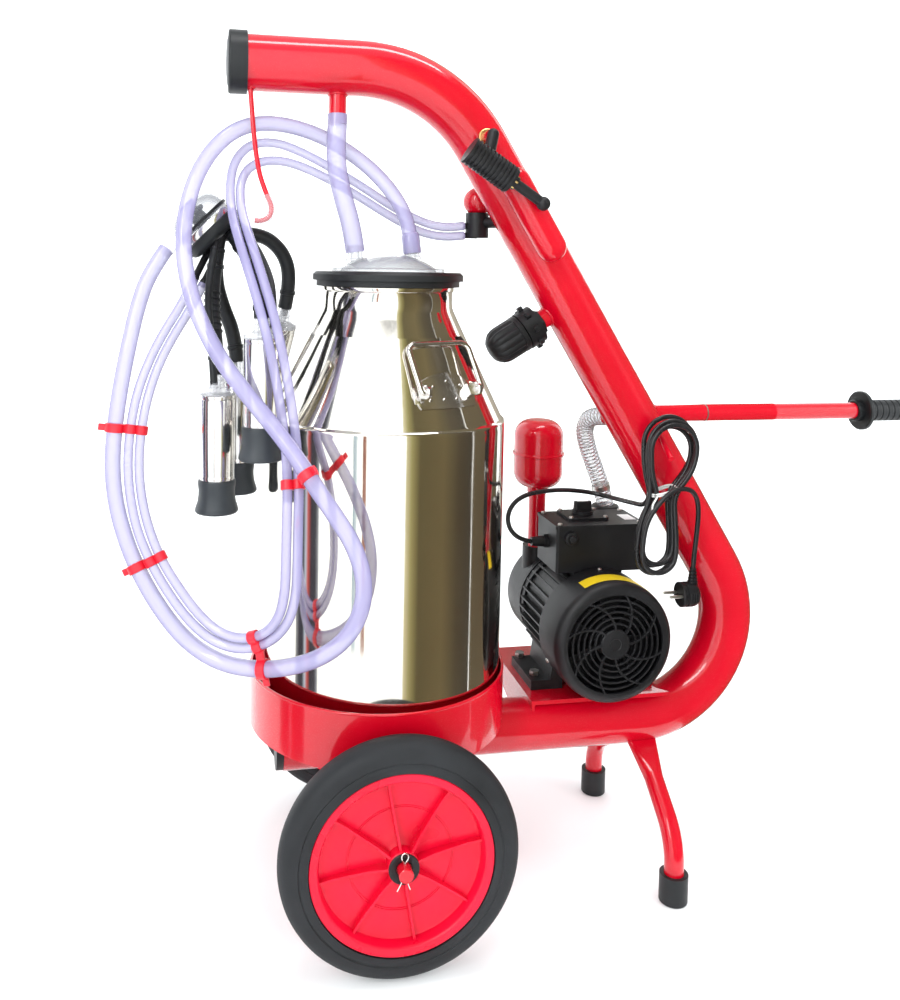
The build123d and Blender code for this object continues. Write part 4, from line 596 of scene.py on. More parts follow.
WAIST = (106, 552)
TURN = [(95, 549), (84, 582), (81, 609), *bow((118, 624), 37, (162, 126, 90, 54, 18)), (155, 611),
        (146, 584), (118, 552), (121, 520), (124, 487), *bow((97, 464), 27, (-18, -54, -90, -126, -162)),
        (70, 485), (76, 518)]
TURN_COUNT = 4
LAYER = 7.1
FIRST_Y = -51.6
UPPER_SIZE = (1.0, 0.88, 0.96, 0.92)
LOWER_SIZE = (0.92, 1.0, 0.87, 0.96)
LEFT_BULGE = (-1, 2, -7, 1)
TAIL = [(97, -83.4, 549), (116, -84, 563), (140, -80, 562), (156, -72, 547), (163, -65, 522),
        (163, -61, 488), (161, -59, 455), (160, -59, 424)]
cord_points = list(LEAD)
for turn_number in range(TURN_COUNT):
    for step, (x, z) in enumerate(TURN):
        size = (UPPER_SIZE if z > WAIST[1] else LOWER_SIZE)[turn_number]
        spread = size if abs(z - WAIST[1]) > 12 else 1.0
        moved_x = WAIST[0] + (x - WAIST[0]) * spread + (LEFT_BULGE[turn_number] if step == 0 else 0)
        moved_z = WAIST[1] + (z - WAIST[1]) * spread
        cord_points.append((moved_x, FIRST_Y - LAYER * (turn_number + step / len(TURN)), moved_z))
cord_points += TAIL
power_cord = smooth_line("power_cord", [mm(*point) for point in cord_points], CORD_R, CORD_BLACK, "frame",
                         ["cord_lead", "cord_hank", "cord_tail"])
cord_path = path_of(power_cord)

PLUG = mm(155, -59, 402)
plug_shapes = [lathe(scaled((
    (1, 0), (10, 0.3), (14.5, 2.2), (17, 6), (18, 11), (18, 19), (16.6, 20), (16.6, 22), (18, 23), (18, 27),
    (17, 28), (1, 28))), PLUG + mm(13, 0, 0), Vector((-1, 0, 0)), 48)]
for rib in (-6, -2, 2, 6):
    for side in (-1, 1):
        plug_shapes.append(block(PLUG + mm(1 + rib, side * 17.4, 0), (0.0018, 0.002, 0.014)))
plug_piece = solid_piece("plug_body", plug_shapes, BLACK, "frame", ["plug"])
pin_shapes = [lathe([(0.0005, 0), (0.0024, 0), (0.0024, 0.0175), (0.0016, 0.019), (0.0004, 0.019)],
                    PLUG + mm(-15, side * 9.5, 0), Vector((-1, 0, 0)), 20) for side in (-1, 1)]
plug_pins = solid_piece("plug_pins", pin_shapes, ZINC, "frame")
relief_profile = [(0.001, 0)]
for rib in range(7):
    base = 8.4 - 0.6 * rib
    z = 4.6 * rib
    relief_profile += [(base * MM, z * MM), (base * MM, (z + 2.4) * MM), ((base - 1.4) * MM, (z + 2.8) * MM),
                       ((base - 1.4) * MM, (z + 4.2) * MM)]
relief_profile.append((0.001, 0.0325))
plug_relief = solid_piece("plug_relief",
                          [lathe(relief_profile, PLUG + mm(5, 0, 8), Vector((0.02, 0, 1)), 32)], BLACK,
                          "frame")
for lift in (0, 3):
    loop = [mm(x, y, z + lift) for x, y, z in (
        (89, -50, 547), (88, -66, 549), (92, -78, 551), (108, -80, 555), (123, -78, 558), (126, -64, 560),
        (123, -50, 559), (107, -47, 553))]
    tie = smooth_line("cord_tie_%d" % lift, loop, 0.0014, WHITE_TIE, "frame", cyclic=True)
tie_tail = smooth_line("cord_tie_end", [mm(*p) for p in (
    (92, -78, 552), (86, -84, 548), (82, -82, 540),
    (84, -80, 532))], 0.0013, WHITE_TIE, "frame")


# ---------------------------------------------------------------- CAD pieces that keep their shape
KEPT = {
    "main_frame": RED, "bucket_tray": RED, "axle": RED, "legs": RED, "motor_plate": RED,
    "exhaust_silencer": RED, "pulsator_cap": RED, "handle_bar": RED,
    "tube_end_caps": RUBBER, "foot_caps": RUBBER, "lid_gasket": RUBBER,
    "frame_bolts": ZINC, "motor_rotor": ZINC, "bearings": ZINC, "pump_rotor": ZINC, "stator_core": ZINC,
    "motor_frame": BLACK_PAINT, "end_shields": BLACK_PAINT, "pump_housing": BLACK_PAINT,
    "suction_port": BLACK_PAINT, "cooling_fan": BLACK, "terminal_box": BLACK, "terminal_lid": BLACK,
    "switch_knob": BLACK, "reset_button": BLACK, "cable_gland": BLACK, "regulator_body": BLACK,
    "regulator_stem": BLACK, "trap_collar": BLACK, "pulsator_body": BLACK,
    "bail_near": WIRE_STEEL, "bail_far": WIRE_STEEL,
}
for node, mat in KEPT.items():
    dress(node, mat)

# ---------------------------------------------------------------- welds on the frame
CORNER = mm(-215, 0, 1140)
DOWN = mm(580, 0, -943).normalized()
OUT = Vector((DOWN.z, 0, -DOWN.x))
TUBE_R = 0.038
HANDLE_Z = 658
SILENCER = mm(-5, 148, 0)
TRAP_DISTANCE = 375
rng = random.Random(7)


def weld(name, root, run, radius, tube_at=CORNER, tube_run=DOWN, bead=0.0021):
    """A lumpy weld bead where a round bar meets the main tube."""
    run, first, second = axes_for(run)
    points = []
    for step in range(44):
        turn = 2 * math.pi * step / 44
        start = root + (first * math.cos(turn) + second * math.sin(turn)) * radius
        offset = start - tube_at
        offset = offset - tube_run * offset.dot(tube_run)
        slope = run - tube_run * run.dot(tube_run)
        a, b, c = slope.dot(slope), 2 * offset.dot(slope), offset.dot(offset) - TUBE_R ** 2
        reach = (-b + math.sqrt(max(b * b - 4 * a * c, 0))) / (2 * a)
        points.append(start + run * (reach + rng.uniform(-0.0005, 0.0005)))
    return smooth_line(name, points, bead, RED, "frame", cyclic=True)


def on_diagonal(distance, out=0.0, side=0.0):
    """A place at millimetres down the diagonal, out towards the bucket and aside."""
    return CORNER + DOWN * distance * MM + OUT * out * MM + Vector((0, side * MM, 0))


def diagonal_at(z):
    """The place on the diagonal's middle line at a height in millimetres."""
    return CORNER + DOWN * ((z * MM - CORNER.z) / DOWN.z)


weld("weld_vacuum_stub", mm(-359, 0, 1140), Vector((0, 0, -1)), 0.012, CORNER, Vector((1, 0, 0)))
weld("weld_trap_stub", on_diagonal(TRAP_DISTANCE), OUT, 0.014)
weld("weld_handle", diagonal_at(HANDLE_Z), Vector((1, 0, 0)), 0.0125)
weld("weld_suction", diagonal_at(645), (mm(70, 56, 645) - diagonal_at(645)).normalized(), 0.0125)
weld("weld_hook", mm(-478, -12, 1140), Vector((0.03, 0, -1)).normalized(), 0.0042, CORNER, Vector((1, 0, 0)),
     0.0016)
for number, out in enumerate((-7.6, 7.6)):
    bead_points = [on_diagonal(168 + 7.4 * step, out + rng.uniform(-0.5, 0.5), -37.2) for step in range(18)]
    smooth_line("weld_branch_%d" % number, bead_points, 0.0022, RED, "frame")

turned("arm_cap_dome", scaled(((33, -1), (33, 0.4), (28, 1.6), (16, 2.6), (1, 3.0))),
       mm(-507, 0, 1140), Vector((-1, 0, 0)), CAP_GREY, "frame")
rim_loop = [mm(-293 + 178.6 * math.cos(a), 178.6 * math.sin(a), 310) for a in
            [2 * math.pi * k / 48 for k in range(48)]]
smooth_line("tray_rim", rim_loop, 0.0022, RED, "frame", cyclic=True)

HOOK = [mm(*p) for p in ((-478, -12, 1108), (-474, -14, 1050), (-467, -17, 995), (-457, -20, 966),
                         (-447, -22, 944), (-456, -24, 927), (-472, -24, 928))]
hook_line = smooth_line("hook_wire", HOOK, 0.0034, RED, "frame", ["cup_hook"])
hook_path = path_of(hook_line)
sleeve_start = near_point(hook_path, mm(-455, -20, 962))
solid_piece("hook_sleeve", [sweep_tube(hook_path[sleeve_start:], 0.0055, 16)], CUP_CLEAR, "frame")

# ---------------------------------------------------------------- wheels
WHEEL_X, WHEEL_Y, WHEEL_Z = -299, 213, 150
PIN_Y = 244.2


def wheel(side, body, rim_node, tyre_node):
    """Dished red rim with tapered ribs, solid tyre, black washer and split pin; side is -1 near and 1 far."""
    centre = mm(WHEEL_X, side * WHEEL_Y, WHEEL_Z)
    outwards = Vector((0, side, 0))
    label = "near" if side < 0 else "far"
    section = [
        (115, 23.3), (117, 23.5), (121, 23.1), (124.5, 22.6), (126, 21.6), (127.5, 22.6), (133, 22.0),
        (139, 20.3), (144, 17.0), (147.6, 12), (149.5, 6), (150, 0),
    ]
    profile = section + [(r, -h) for r, h in reversed(section[:-1])]
    profile += [(115, -19.2), (111, -19), (111, 19), (115, 19.2)]
    turned_ring("tyre_%s_rubber" % label, profile, centre, outwards, TYRE, body, [tyre_node],
                160, angle=28)
    dish = [
        (113.2, 22), (114, 21.2), (114, 19.4), (111, 19), (111, -19), (114, -19.4), (114, -22), (103, -22),
        (102.5, -19), (101, -3), (62, -1), (30, -4), (19, -8), (19, -25), (9.1, -25), (9.1, 25), (17.6, 25),
        (19, 23.8), (19, 9), (24, 5.5), (62, 4), (96, 5), (100.5, 7), (102.5, 19), (104, 21.2), (105.5, 22),
    ]
    shapes = [ring(scaled(dish), centre, outwards, 144)]
    _, first, second = axes_for(outwards)
    for rib in range(8):
        turn = math.radians(10 + 45 * rib)
        ray = first * math.cos(turn) + second * math.sin(turn)
        beside = outwards.cross(ray)

        def at(u, v, depth):
            return centre + (ray * u + outwards * v + beside * depth) * MM

        shapes.append(prism([(17, 3), (101.8, 4), (102.4, 13.5), (84, 12), (40, 16), (18.5, 22)], -1.5, 1.5,
                            at))
        shapes.append(prism([(17, -6), (18.5, -21), (40, -16), (101.8, -12), (101.8, -2), (60, 0)], -1.5,
                            1.5, at))
    for groove in (64.0, 66.2):
        shapes.append(ring([((groove - 0.5) * MM, 4.2 * MM), ((groove + 0.5) * MM, 4.2 * MM),
                            ((groove + 0.4) * MM, 4.9 * MM),
                            ((groove - 0.4) * MM, 4.9 * MM)], centre, outwards, 96))
    solid_piece("rim_%s_dish" % label, shapes, RED_PLASTIC, body, [rim_node])

    washer = [(9.4, 25.5), (18.2, 25.5), (19, 26.3), (19, 27.7), (18.2, 28.4), (11.5, 28.4), (9.4, 27.2)]
    washer_shape = ring(scaled(washer), centre, outwards, 64)
    solid_piece("washer_%s" % label, [washer_shape], BLACK, "frame", ["wheel_retainers"])
    x, y = WHEEL_X, side * PIN_Y
    pin_points = [(x + 7, y, 127), (x + 3, y, 136), (x + 0.9, y, 145), (x + 0.9, y, 155), (x + 0.9, y, 161),
                  (x + 4.2, y, 165), (x + 4, y, 170), (x, y, 172.5), (x - 4, y, 170), (x - 4.2, y, 165),
                  (x - 0.9, y, 161), (x - 0.9, y, 155), (x - 0.9, y, 145), (x - 4, y, 135), (x - 9, y, 126)]
    smooth_line("split_pin_%s" % label, [mm(*p) for p in pin_points], 0.0009, WIRE_STEEL, "frame")


wheel(-1, "wheel_near", "rim_near", "tyre_near")
wheel(1, "wheel_far", "rim_far", "tyre_far")

# ---------------------------------------------------------------- bucket
BUCKET = mm(-285, 0, 0)


def bucket():
    """Milk bucket of polished sheet with its seams and rolled mouth."""
    outer = [(152, 238), (160, 239.4), (164.4, 243.5), (166, 250), (166, 256), (165.2, 257.2),
             (165.2, 258.8), (166, 260), (166, 300), (166, 400), (166, 500), (166, 600), (166, 652),
             (165.6, 656), (165.8, 658), (165.4, 660.2), (164, 661.6), (161.6, 663.4), (157, 670.5),
             (140, 706.8), (125, 739), (108, 775), (97, 798.5), (92.3, 808.5), (90.4, 814), (90, 820),
             (90, 834), (91.2, 835.6), (92, 837), (92, 841), (91, 842)]
    inner = [(89, 842), (88.5, 840), (88.5, 815.6), (161, 664.8), (164.4, 658), (164.5, 252), (152, 239.6)]
    shapes = [lathe([(0.0005, 0.238), *scaled(outer + inner), (0.0005, 0.2396)],
                    BUCKET, UP, 192)]
    return solid_piece("bucket_polished", shapes, STEEL, "frame", ["bucket_shell"], 40)


bucket()


def cone_radius(z):
    """Radius of the bucket's shoulder at a height, in millimetres."""
    return 162.6 + (z - 663) / (812 - 663) * (91 - 162.6)


def bail_ear(azimuth, label):
    """Two round lugs joined by a pressed strap with an arched top, spot-welded to the shoulder."""
    away = Vector((math.cos(math.radians(azimuth)), math.sin(math.radians(azimuth)), 0))
    aside = UP.cross(away)
    pivot = BUCKET + away * 0.150 + UP * 0.712

    def on_cone(t, z, lift):
        radius = cone_radius(z) + lift
        turn = t / radius
        return BUCKET + (away * math.cos(turn) + aside * math.sin(turn)) * radius * MM + UP * z * MM

    columns, rows = 30, 5
    grid_verts, grid_faces = [], []
    for lift in (2.4, 0.1):
        for row in range(rows + 1):
            for column in range(columns + 1):
                t = -52 + 104 * column / columns
                top = 716 + 17 * max(0.0, math.cos(math.pi * t / 92)) ** 0.7
                bottom = 690 + (6 if abs(t) > 46 else 0)
                edge = 0.7 if row in (0, rows) or column in (0, columns) else 0
                grid_verts.append(on_cone(t, bottom + (top - bottom) * row / rows,
                                          lift - (edge if lift > 1 else 0)))
    width = columns + 1
    layer = width * (rows + 1)
    for row in range(rows):
        for column in range(columns):
            a = row * width + column
            grid_faces.append((a, a + 1, a + 1 + width, a + width))
            grid_faces.append((a + layer, a + layer + width, a + 1 + layer + width, a + 1 + layer))
    edge_loop = [c for c in range(width)] + [r * width + columns for r in range(1, rows + 1)]
    edge_loop += [rows * width + c for c in range(columns - 1, -1, -1)]
    edge_loop += [r * width for r in range(rows - 1, 0, -1)]
    for i, a in enumerate(edge_loop):
        b = edge_loop[(i + 1) % len(edge_loop)]
        grid_faces.append((a, a + layer, b + layer, b))
    shapes = [(grid_verts, grid_faces)]
    for sign in (-1, 1):
        disc = [(0.5, -3.2), (7.2, -3.2), (8.2, -2.2), (8.2, 2.2), (7.2, 3.2), (0.5, 3.2)]
        shapes.append(lathe(scaled(disc), pivot + aside * sign * 0.041, aside, 40))
        shapes.append(block(pivot + aside * sign * 0.041 - away * 0.0085, (0.006, 0.013, 0.017),
                            (aside, away, UP), 0.0012))
    solid_piece("bail_ear_%s" % label, shapes, WIRE_STEEL, "frame", ["bucket_shell"], 40)
    spots = []
    for t, z in ((-30, 700), (-10, 700), (10, 700), (30, 700), (0, 722), (-22, 716), (22, 716)):
        face = (on_cone(t, z, 1) - on_cone(t, z, 0)).normalized()
        spots.append(lathe([(0.0028, 0), (0.0024, 0.0006), (0.0004, 0.0009)], on_cone(t, z, 2.2), face, 16))
    solid_piece("bail_welds_%s" % label, spots, WIRE_STEEL, "frame", ["bucket_shell"])


bail_ear(-66, "near")
bail_ear(114, "far")

# lid
SPHERE_R, SPHERE_Z = 118.3, 769.7


def dome_height(radius, inset=0.0):
    """Height of the lid's dome at a radius, in millimetres."""
    return SPHERE_Z + math.sqrt((SPHERE_R - inset) ** 2 - radius ** 2)


dome = [(78, 862.2), (79, 863), (79, 866), (77.5, 867.2), (73, 867.2)]
dome += [(r, dome_height(r)) for r in (69, 60, 50, 40, 30, 20, 10, 0.5)]
dome += [(r, dome_height(r, 2.4)) for r in (0.5, 10, 20, 30, 40, 50, 60)] + [(67, 864), (67, 862.2)]
turned_ring("lid_window", dome, BUCKET, UP, CLEAR, "frame", ["lid_dome"], 128)
nozzle_shapes = []
for x in (-332, -251):
    foot = dome_height(abs(x + 285)) - 3
    tube = [(6, foot), (13.5, foot), (13.2, foot + 4), (10.8, foot + 5.5), (10.5, 889), (10.9, 889.2),
            (11.6, 892), (10.7, 898), (9, 898.4), (6, 898.4)]
    nozzle_shapes.append(ring(scaled(tube), mm(x, 0, 0), UP, 48))
solid_piece("lid_nozzles", nozzle_shapes, CUP_CLEAR, "frame", ["lid_dome"])

# wider end of the milk hose, pushed over its nozzle
cuff_foot = Vector(MILK_ROUTE[0])
cuff = [(10.2, -1), (12.3, -1), (12.8, 1), (12.8, 22), (12.2, 25), (10.9, 28), (10.4, 28.5)]
turned_ring("milk_hose_cuff", cuff, cuff_foot, (Vector(MILK_ROUTE[1]) - cuff_foot).normalized(), PVC,
            "frame", ["milk_hose"], 48)

# ---------------------------------------------------------------- milking cluster
CLAW = mm(-527, 25, 914)
CLAW_AXIS = Vector((-1, 0, 1)).normalized()
turned("claw_base", scaled((
    (1, -14), (30, -14), (38, -12.6), (42, -10), (44.5, -6), (45, -1), (45, 3), (43.6, 4.2), (1, 4.2))),
    CLAW, CLAW_AXIS, RUBBER, "frame", ["claw_cover"], 72)
turned_ring("claw_steel_ring", [(42.4, 4.3), (43.4, 4.8), (43.8, 8), (43.8, 12), (43.2, 13.4), (42.2, 13.6)],
            CLAW, CLAW_AXIS, CUP_STEEL, "frame", ["claw_bowl"])
turned_ring("claw_window", [(42, 4.4), (42, 20), (41.6, 25), (40.1, 31), (37, 37), (32.4, 42), (26, 45.8),
                            (18, 47.7), (4, 48), (4, 45.4), (17.4, 45.2), (25, 43.4), (31, 39.8), (35, 35.3),
                            (37.8, 30), (39, 24.6), (39.4, 20), (39.4, 4.4)],
            CLAW, CLAW_AXIS, CLEAR, "frame", ["claw_bowl"])
turned_ring("claw_band", [(42.2, 17), (42.9, 17.4), (42.9, 20.6), (42.2, 21)], CLAW, CLAW_AXIS, BLACK,
            "frame", ["claw_cover"])
turned("claw_valve", scaled((
    (1, 5), (22, 5), (22, 9), (13, 11), (11, 30), (16, 33), (16, 37), (9, 39), (9, 46.4), (12, 47.4),
    (12, 50), (10.6, 51.2),
    (1, 51.4))), CLAW, CLAW_AXIS, BLACK, "frame", ["claw_cover"], 48)


def nipple(end, before, radius, length, collar=1.6):
    """A tapered nozzle that a tube is pushed over: from a tube's end back into the claw."""
    end, before = Vector(end), Vector(before)
    back = (end - before).normalized()
    profile = [(radius * 0.98, -0.004), (radius + 0.0002, 0), (radius + collar * MM, 0.0015),
               (radius + collar * MM, 0.005), (radius, 0.0065), (radius, length)]
    return lathe(profile, end, back, 28)


MILK_TUBES = [
    [
        (-0.52, 0.009, 0.885), (-0.526, 0.004, 0.85), (-0.527, -0.016, 0.805), (-0.522, -0.038, 0.765),
        (-0.52, -0.045, 0.724),
    ],
    [
        (-0.521, 0.041, 0.884), (-0.523, 0.047, 0.85), (-0.512, 0.045, 0.81), (-0.496, 0.034, 0.772),
        (-0.492, 0.03, 0.733),
    ],
    [
        (-0.498, 0.009, 0.907), (-0.482, -0.005, 0.885), (-0.468, -0.05, 0.85), (-0.465, -0.082, 0.826),
        (-0.465, -0.088, 0.801),
    ],
    [
        (-0.496, 0.041, 0.911), (-0.462, 0.045, 0.915), (-0.428, 0.05, 0.89), (-0.416, 0.056, 0.85),
        (-0.424, 0.062, 0.808),
    ],
]
PULSE_TUBES = [
    [
        (-0.5243, -0.0066, 0.888), (-0.5305, -0.011, 0.8551), (-0.5325, -0.03, 0.8117),
        (-0.5274, -0.0528, 0.7698), (-0.5242, -0.0629, 0.7126),
    ],
    [
        (-0.5256, 0.0565, 0.887), (-0.5278, 0.0628, 0.8503), (-0.5156, 0.0606, 0.8062),
        (-0.4998, 0.0495, 0.768), (-0.4951, 0.0443, 0.7171),
    ],
    [
        (-0.4856, 0.0064, 0.9176), (-0.4686, -0.0072, 0.8943), (-0.4538, -0.053, 0.8579),
        (-0.4505, -0.0877, 0.8313), (-0.4498, -0.0976, 0.7889),
    ],
    [
        (-0.4982, 0.0571, 0.9137), (-0.4627, 0.0609, 0.9195), (-0.4256, 0.0657, 0.8943),
        (-0.4128, 0.072, 0.8525), (-0.4237, 0.0801, 0.7961),
    ],
]
nipple_shapes = [nipple(route[0], route[1], 0.0085, 0.020) for route in MILK_TUBES]
nipple_shapes += [nipple(route[0], route[1], 0.0042, 0.020, 1.0) for route in PULSE_TUBES]
nipple_shapes.append(nipple(PULSE_ROUTE_A[-1], PULSE_ROUTE_A[-2], 0.0048, 0.050, 1.0))
nipple_shapes.append(nipple(PULSE_ROUTE_B[-1], PULSE_ROUTE_B[-2], 0.0048, 0.050, 1.0))
solid_piece("claw_nipples", nipple_shapes, BLACK, "frame", ["claw_cover"])
solid_piece("claw_outlet",
            [lathe([(0.0088, -0.006), (0.0092, 0), (0.0108, 0.0015), (0.0108, 0.006), (0.0094, 0.0075),
                    (0.0094, 0.034)], Vector(MILK_ROUTE[-1]),
                   (CLAW + CLAW_AXIS * 0.022 - Vector(MILK_ROUTE[-1])).normalized(), 32)],
            CUP_CLEAR, "frame", ["claw_bowl"])

CUP_TOPS = [mm(-520, -45, 724), mm(-492, 30, 733), mm(-465, -88, 801), mm(-424, 62, 808)]
DOWNWARDS = Vector((0, 0, -1))
CUP_AXES = [DOWNWARDS, DOWNWARDS, DOWNWARDS, Vector((-36, 54, -176)).normalized()]
for number, (top, axis) in enumerate(zip(CUP_TOPS, CUP_AXES)):
    cup = "cup_%d" % (number + 1)
    adaptor = [(5, 0), (8.8, 0), (8.8, 8), (10.4, 9), (10.4, 11.5), (9.4, 12.5), (10.5, 16), (15, 19.4),
               (21.4, 20.4), (23, 21.4), (23, 25.9), (5, 25.9)]
    turned_ring(cup + "_adaptor", adaptor, top, axis, CUP_CLEAR, "frame", ["cup_adaptors"],
                56)
    shell = [(21.5, 26), (22.4, 26), (23, 26.8), (23, 31), (22.6, 31.8), (23, 32.6), (23, 132),
             (22.7, 133.2), (23, 134.4), (23, 139.4), (22.6, 140), (21.5, 140)]
    turned_ring(cup + "_shell", shell, top, axis, CUP_STEEL, "frame", ["cup_shells"], 72)
    liner = [(11, 27), (12.5, 27), (12.5, 131), (21.4, 133), (21.4, 139), (24.2, 139.2), (24.8, 141),
             (24.8, 146), (24.3, 149), (23.9, 153), (24.1, 160), (25.2, 168), (27.3, 174.5), (28.3, 178),
             (28.5, 180.6), (27, 182.6), (24, 183), (20, 181.2), (15, 178.6), (11.6, 176.5), (11, 174)]
    turned_ring(cup + "_liner", liner, top, axis, GREY_RUBBER, "frame", ["cup_liners"], 72)
    pulse_end = Vector(PULSE_TUBES[number][-1])
    nub = [(0.0046, -0.003), (0.0050, 0), (0.0058, 0.001), (0.0058, 0.003), (0.0048, 0.0038),
           (0.0048, 0.010)]
    solid_piece(cup + "_nub", [lathe(nub, pulse_end, axis, 24)], CUP_CLEAR, "frame",
                ["cup_adaptors"])
    milk_tube = smooth_line(cup + "_milk_tube", MILK_TUBES[number], SHORT_MILK_R, RUBBER, "frame",
                            ["short_milk_tubes"], 8)
    smooth_line(cup + "_pulse_tube", PULSE_TUBES[number], SHORT_PULSE_R, RUBBER, "frame",
                ["short_pulse_tubes"])
    run_points = path_of(milk_tube)
    ring_shapes = [band_around(run_points, 3, 0.0113, 0.006),
                   band_around(run_points, len(run_points) - 4, 0.0113, 0.006)]
    if number in (0, 2):
        middle = len(run_points) // 2
        ring_shapes += [band_around(run_points, middle - 6 + 2 * k, 0.0112, 0.003) for k in range(7)]
    solid_piece(cup + "_tube_rings", ring_shapes, RUBBER, "frame", ["short_milk_tubes"])

# ---------------------------------------------------------------- motor, pump and switch box
MOTOR = mm(41, 0, 336)
FRONT = Vector((0, -1, 0))


def fan_cover():
    """Pressed cover with a round-shouldered front, six rings and eight swept spokes."""
    outer = [(89, -6), (89, 54), (88.2, 58.6), (86, 62.6), (82.6, 65.6), (79, 67.3), (76, 68)]
    inner = [(72, 67.6), (71.4, 64.5), (78, 63), (84, 58), (87, 52), (87, -6)]
    shapes = [ring(scaled(outer + inner), MOTOR, FRONT, 128)]
    for radius in (64.5, 56, 47.5, 39, 30.5):
        section = [(radius - 1.4, 63.8), (radius + 1.4, 63.8), (radius + 1.2, 67.2), (radius - 1.2, 67.2)]
        shapes.append(ring(scaled(section), MOTOR, FRONT, 96))
    cap = [(1, 63), (22, 63), (22, 66.6), (20.5, 67.8), (9, 67.8), (8, 67), (1, 67)]
    shapes.append(lathe(scaled(cap), MOTOR, FRONT, 64))
    _, first, second = axes_for(FRONT)
    for spoke in range(8):
        base = 2 * math.pi * spoke / 8
        rows = 9
        verts, faces = [], []
        for row in range(rows):
            radius = 20 + 54 * row / (rows - 1)
            turn = base + 0.62 * (row / (rows - 1)) ** 1.2
            ray = first * math.cos(turn) + second * math.sin(turn)
            beside = FRONT.cross(ray)
            for across, depth in ((-2.0, 63.4), (2.0, 63.4), (1.6, 67.9), (-1.6, 67.9)):
                verts.append(MOTOR + (ray * radius + beside * across + FRONT * depth) * MM)
        for row in range(rows - 1):
            for corner in range(4):
                after = (corner + 1) % 4
                a, b = row * 4 + corner, row * 4 + after
                faces.append((a, b, b + 4, a + 4))
        faces += [(3, 2, 1, 0), tuple(range(4 * rows - 4, 4 * rows))]
        shapes.append((verts, faces))
    solid_piece("fan_cover_grille", shapes, BLACK, "frame", ["fan_cover"])


fan_cover()
label_verts, label_faces = [], []
COLUMNS = 24
for lift in (0.5, 0.05):
    for depth in (26, 50):
        for column in range(COLUMNS + 1):
            turn = math.radians(40 + 78 * column / COLUMNS)
            ray = Vector((math.cos(turn), 0, math.sin(turn)))
            label_verts.append(MOTOR + ray * (89 + lift) * MM + FRONT * depth * MM)
WIDTH = COLUMNS + 1
for column in range(COLUMNS):
    a = column
    label_faces.append((a, a + 1, a + 1 + WIDTH, a + WIDTH))
    label_faces.append((a + 2 * WIDTH, a + 3 * WIDTH, a + 1 + 3 * WIDTH, a + 1 + 2 * WIDTH))
    label_faces.append((a, a + 2 * WIDTH, a + 1 + 2 * WIDTH, a + 1))
    label_faces.append((a + WIDTH, a + 1 + WIDTH, a + 1 + 3 * WIDTH, a + 3 * WIDTH))
for a, b in ((0, WIDTH), (COLUMNS, COLUMNS + WIDTH)):
    label_faces.append((a, b, b + 2 * WIDTH, a + 2 * WIDTH))
solid_piece("cover_label", [(label_verts, label_faces)], LABEL_YELLOW, "frame")
solid_piece("lid_label", [block(mm(104, 48, 489.25), (0.018, 0.030, 0.0006), edge=0.0002)], LABEL_WHITE,
            "frame")
screw = [(0.5, 0), (3.6, 0), (3.6, 1.6), (2.8, 2.6), (1.2, 2.6), (1.0, 1.6), (0.5, 1.6)]
screw_shapes = []
for x, y in ((-15, 17), (111, 17), (-15, 89), (111, 89), (10.5, 38), (65.5, 38), (10.5, 86), (65.5, 86)):
    z = 493 if 5 < x < 70 else 489
    screw_shapes.append(lathe(scaled(screw), mm(x, y, z), UP, 24))
for k in range(6):
    turn = math.radians(30 + 60 * k)
    place = MOTOR + mm(68 * math.cos(turn), 190, 68 * math.sin(turn))
    screw_shapes.append(lathe([(0.0005, -0.001), (0.0065, -0.001), (0.0065, 0.0042), (0.0055, 0.005),
                               (0.0005, 0.005)],
                              place, Vector((0, 1, 0)), 6))
for k in range(3):
    turn = math.radians(90 + 120 * k)
    place = MOTOR + mm(83.5 * math.cos(turn), -2, 83.5 * math.sin(turn))
    screw_shapes.append(lathe([(0.0005, 0), (0.0035, 0), (0.0035, 0.0072), (0.0024, 0.0080),
                               (0.0005, 0.0080)],
                              place, Vector((math.cos(turn), 0, math.sin(turn))), 20))
solid_piece("cover_screws", screw_shapes, ZINC, "frame")
turned_ring("pump_rear_plate", [(14, 190), (60, 190), (60, 192.4), (57, 193.4), (18, 193.4), (14, 192)],
            MOTOR, Vector((0, 1, 0)), BLACK_PAINT, "frame")
turned_ring("button_collar", [(6.2, -1.2), (9.6, -1.2), (10.4, 0), (10.4, 3), (8.6, 4.2), (6.2, 4.2)],
            mm(0, 7.5, 470), FRONT, BLACK, "frame")
pointer = block(mm(38, 62, 512.8), (0.018, 0.0016, 0.0010), edge=0.0003)
solid_piece("knob_mark", [pointer], LABEL_WHITE, "knob")
turned_ring("silencer_seam",
            [(38.5, 569), (40.6, 569.6), (41.4, 571), (41.4, 573), (40.6, 574.4), (38.5, 575)], SILENCER, UP,
            RED, "frame")
turned_ring("silencer_collar", [(13, 508), (16, 508), (16.6, 509), (16.6, 517), (15, 519), (13, 519)],
            SILENCER, UP, RED, "frame")

# ---------------------------------------------------------------- regulator, trap and handle
REGULATOR_BASE = mm(-136, -90, 985)
REGULATOR_RUN = (REGULATOR_BASE - mm(-196, -90, 1024)).normalized()
turned_ring("regulator_nut", [(7.2, -0.4), (9.8, -0.4), (10.2, 0.4), (10.2, 5.2), (9.8, 6), (7.2, 6)],
            REGULATOR_BASE, REGULATOR_RUN, BRASS, "frame", steps=6, angle=20)
turned_ring("regulator_seat_ring", [(7.9, 0), (11, 0), (11.6, 1), (11.6, 7), (10.4, 8), (7.9, 8)],
            on_diagonal(108, 0, -38), FRONT, BRASS, "frame", steps=48)


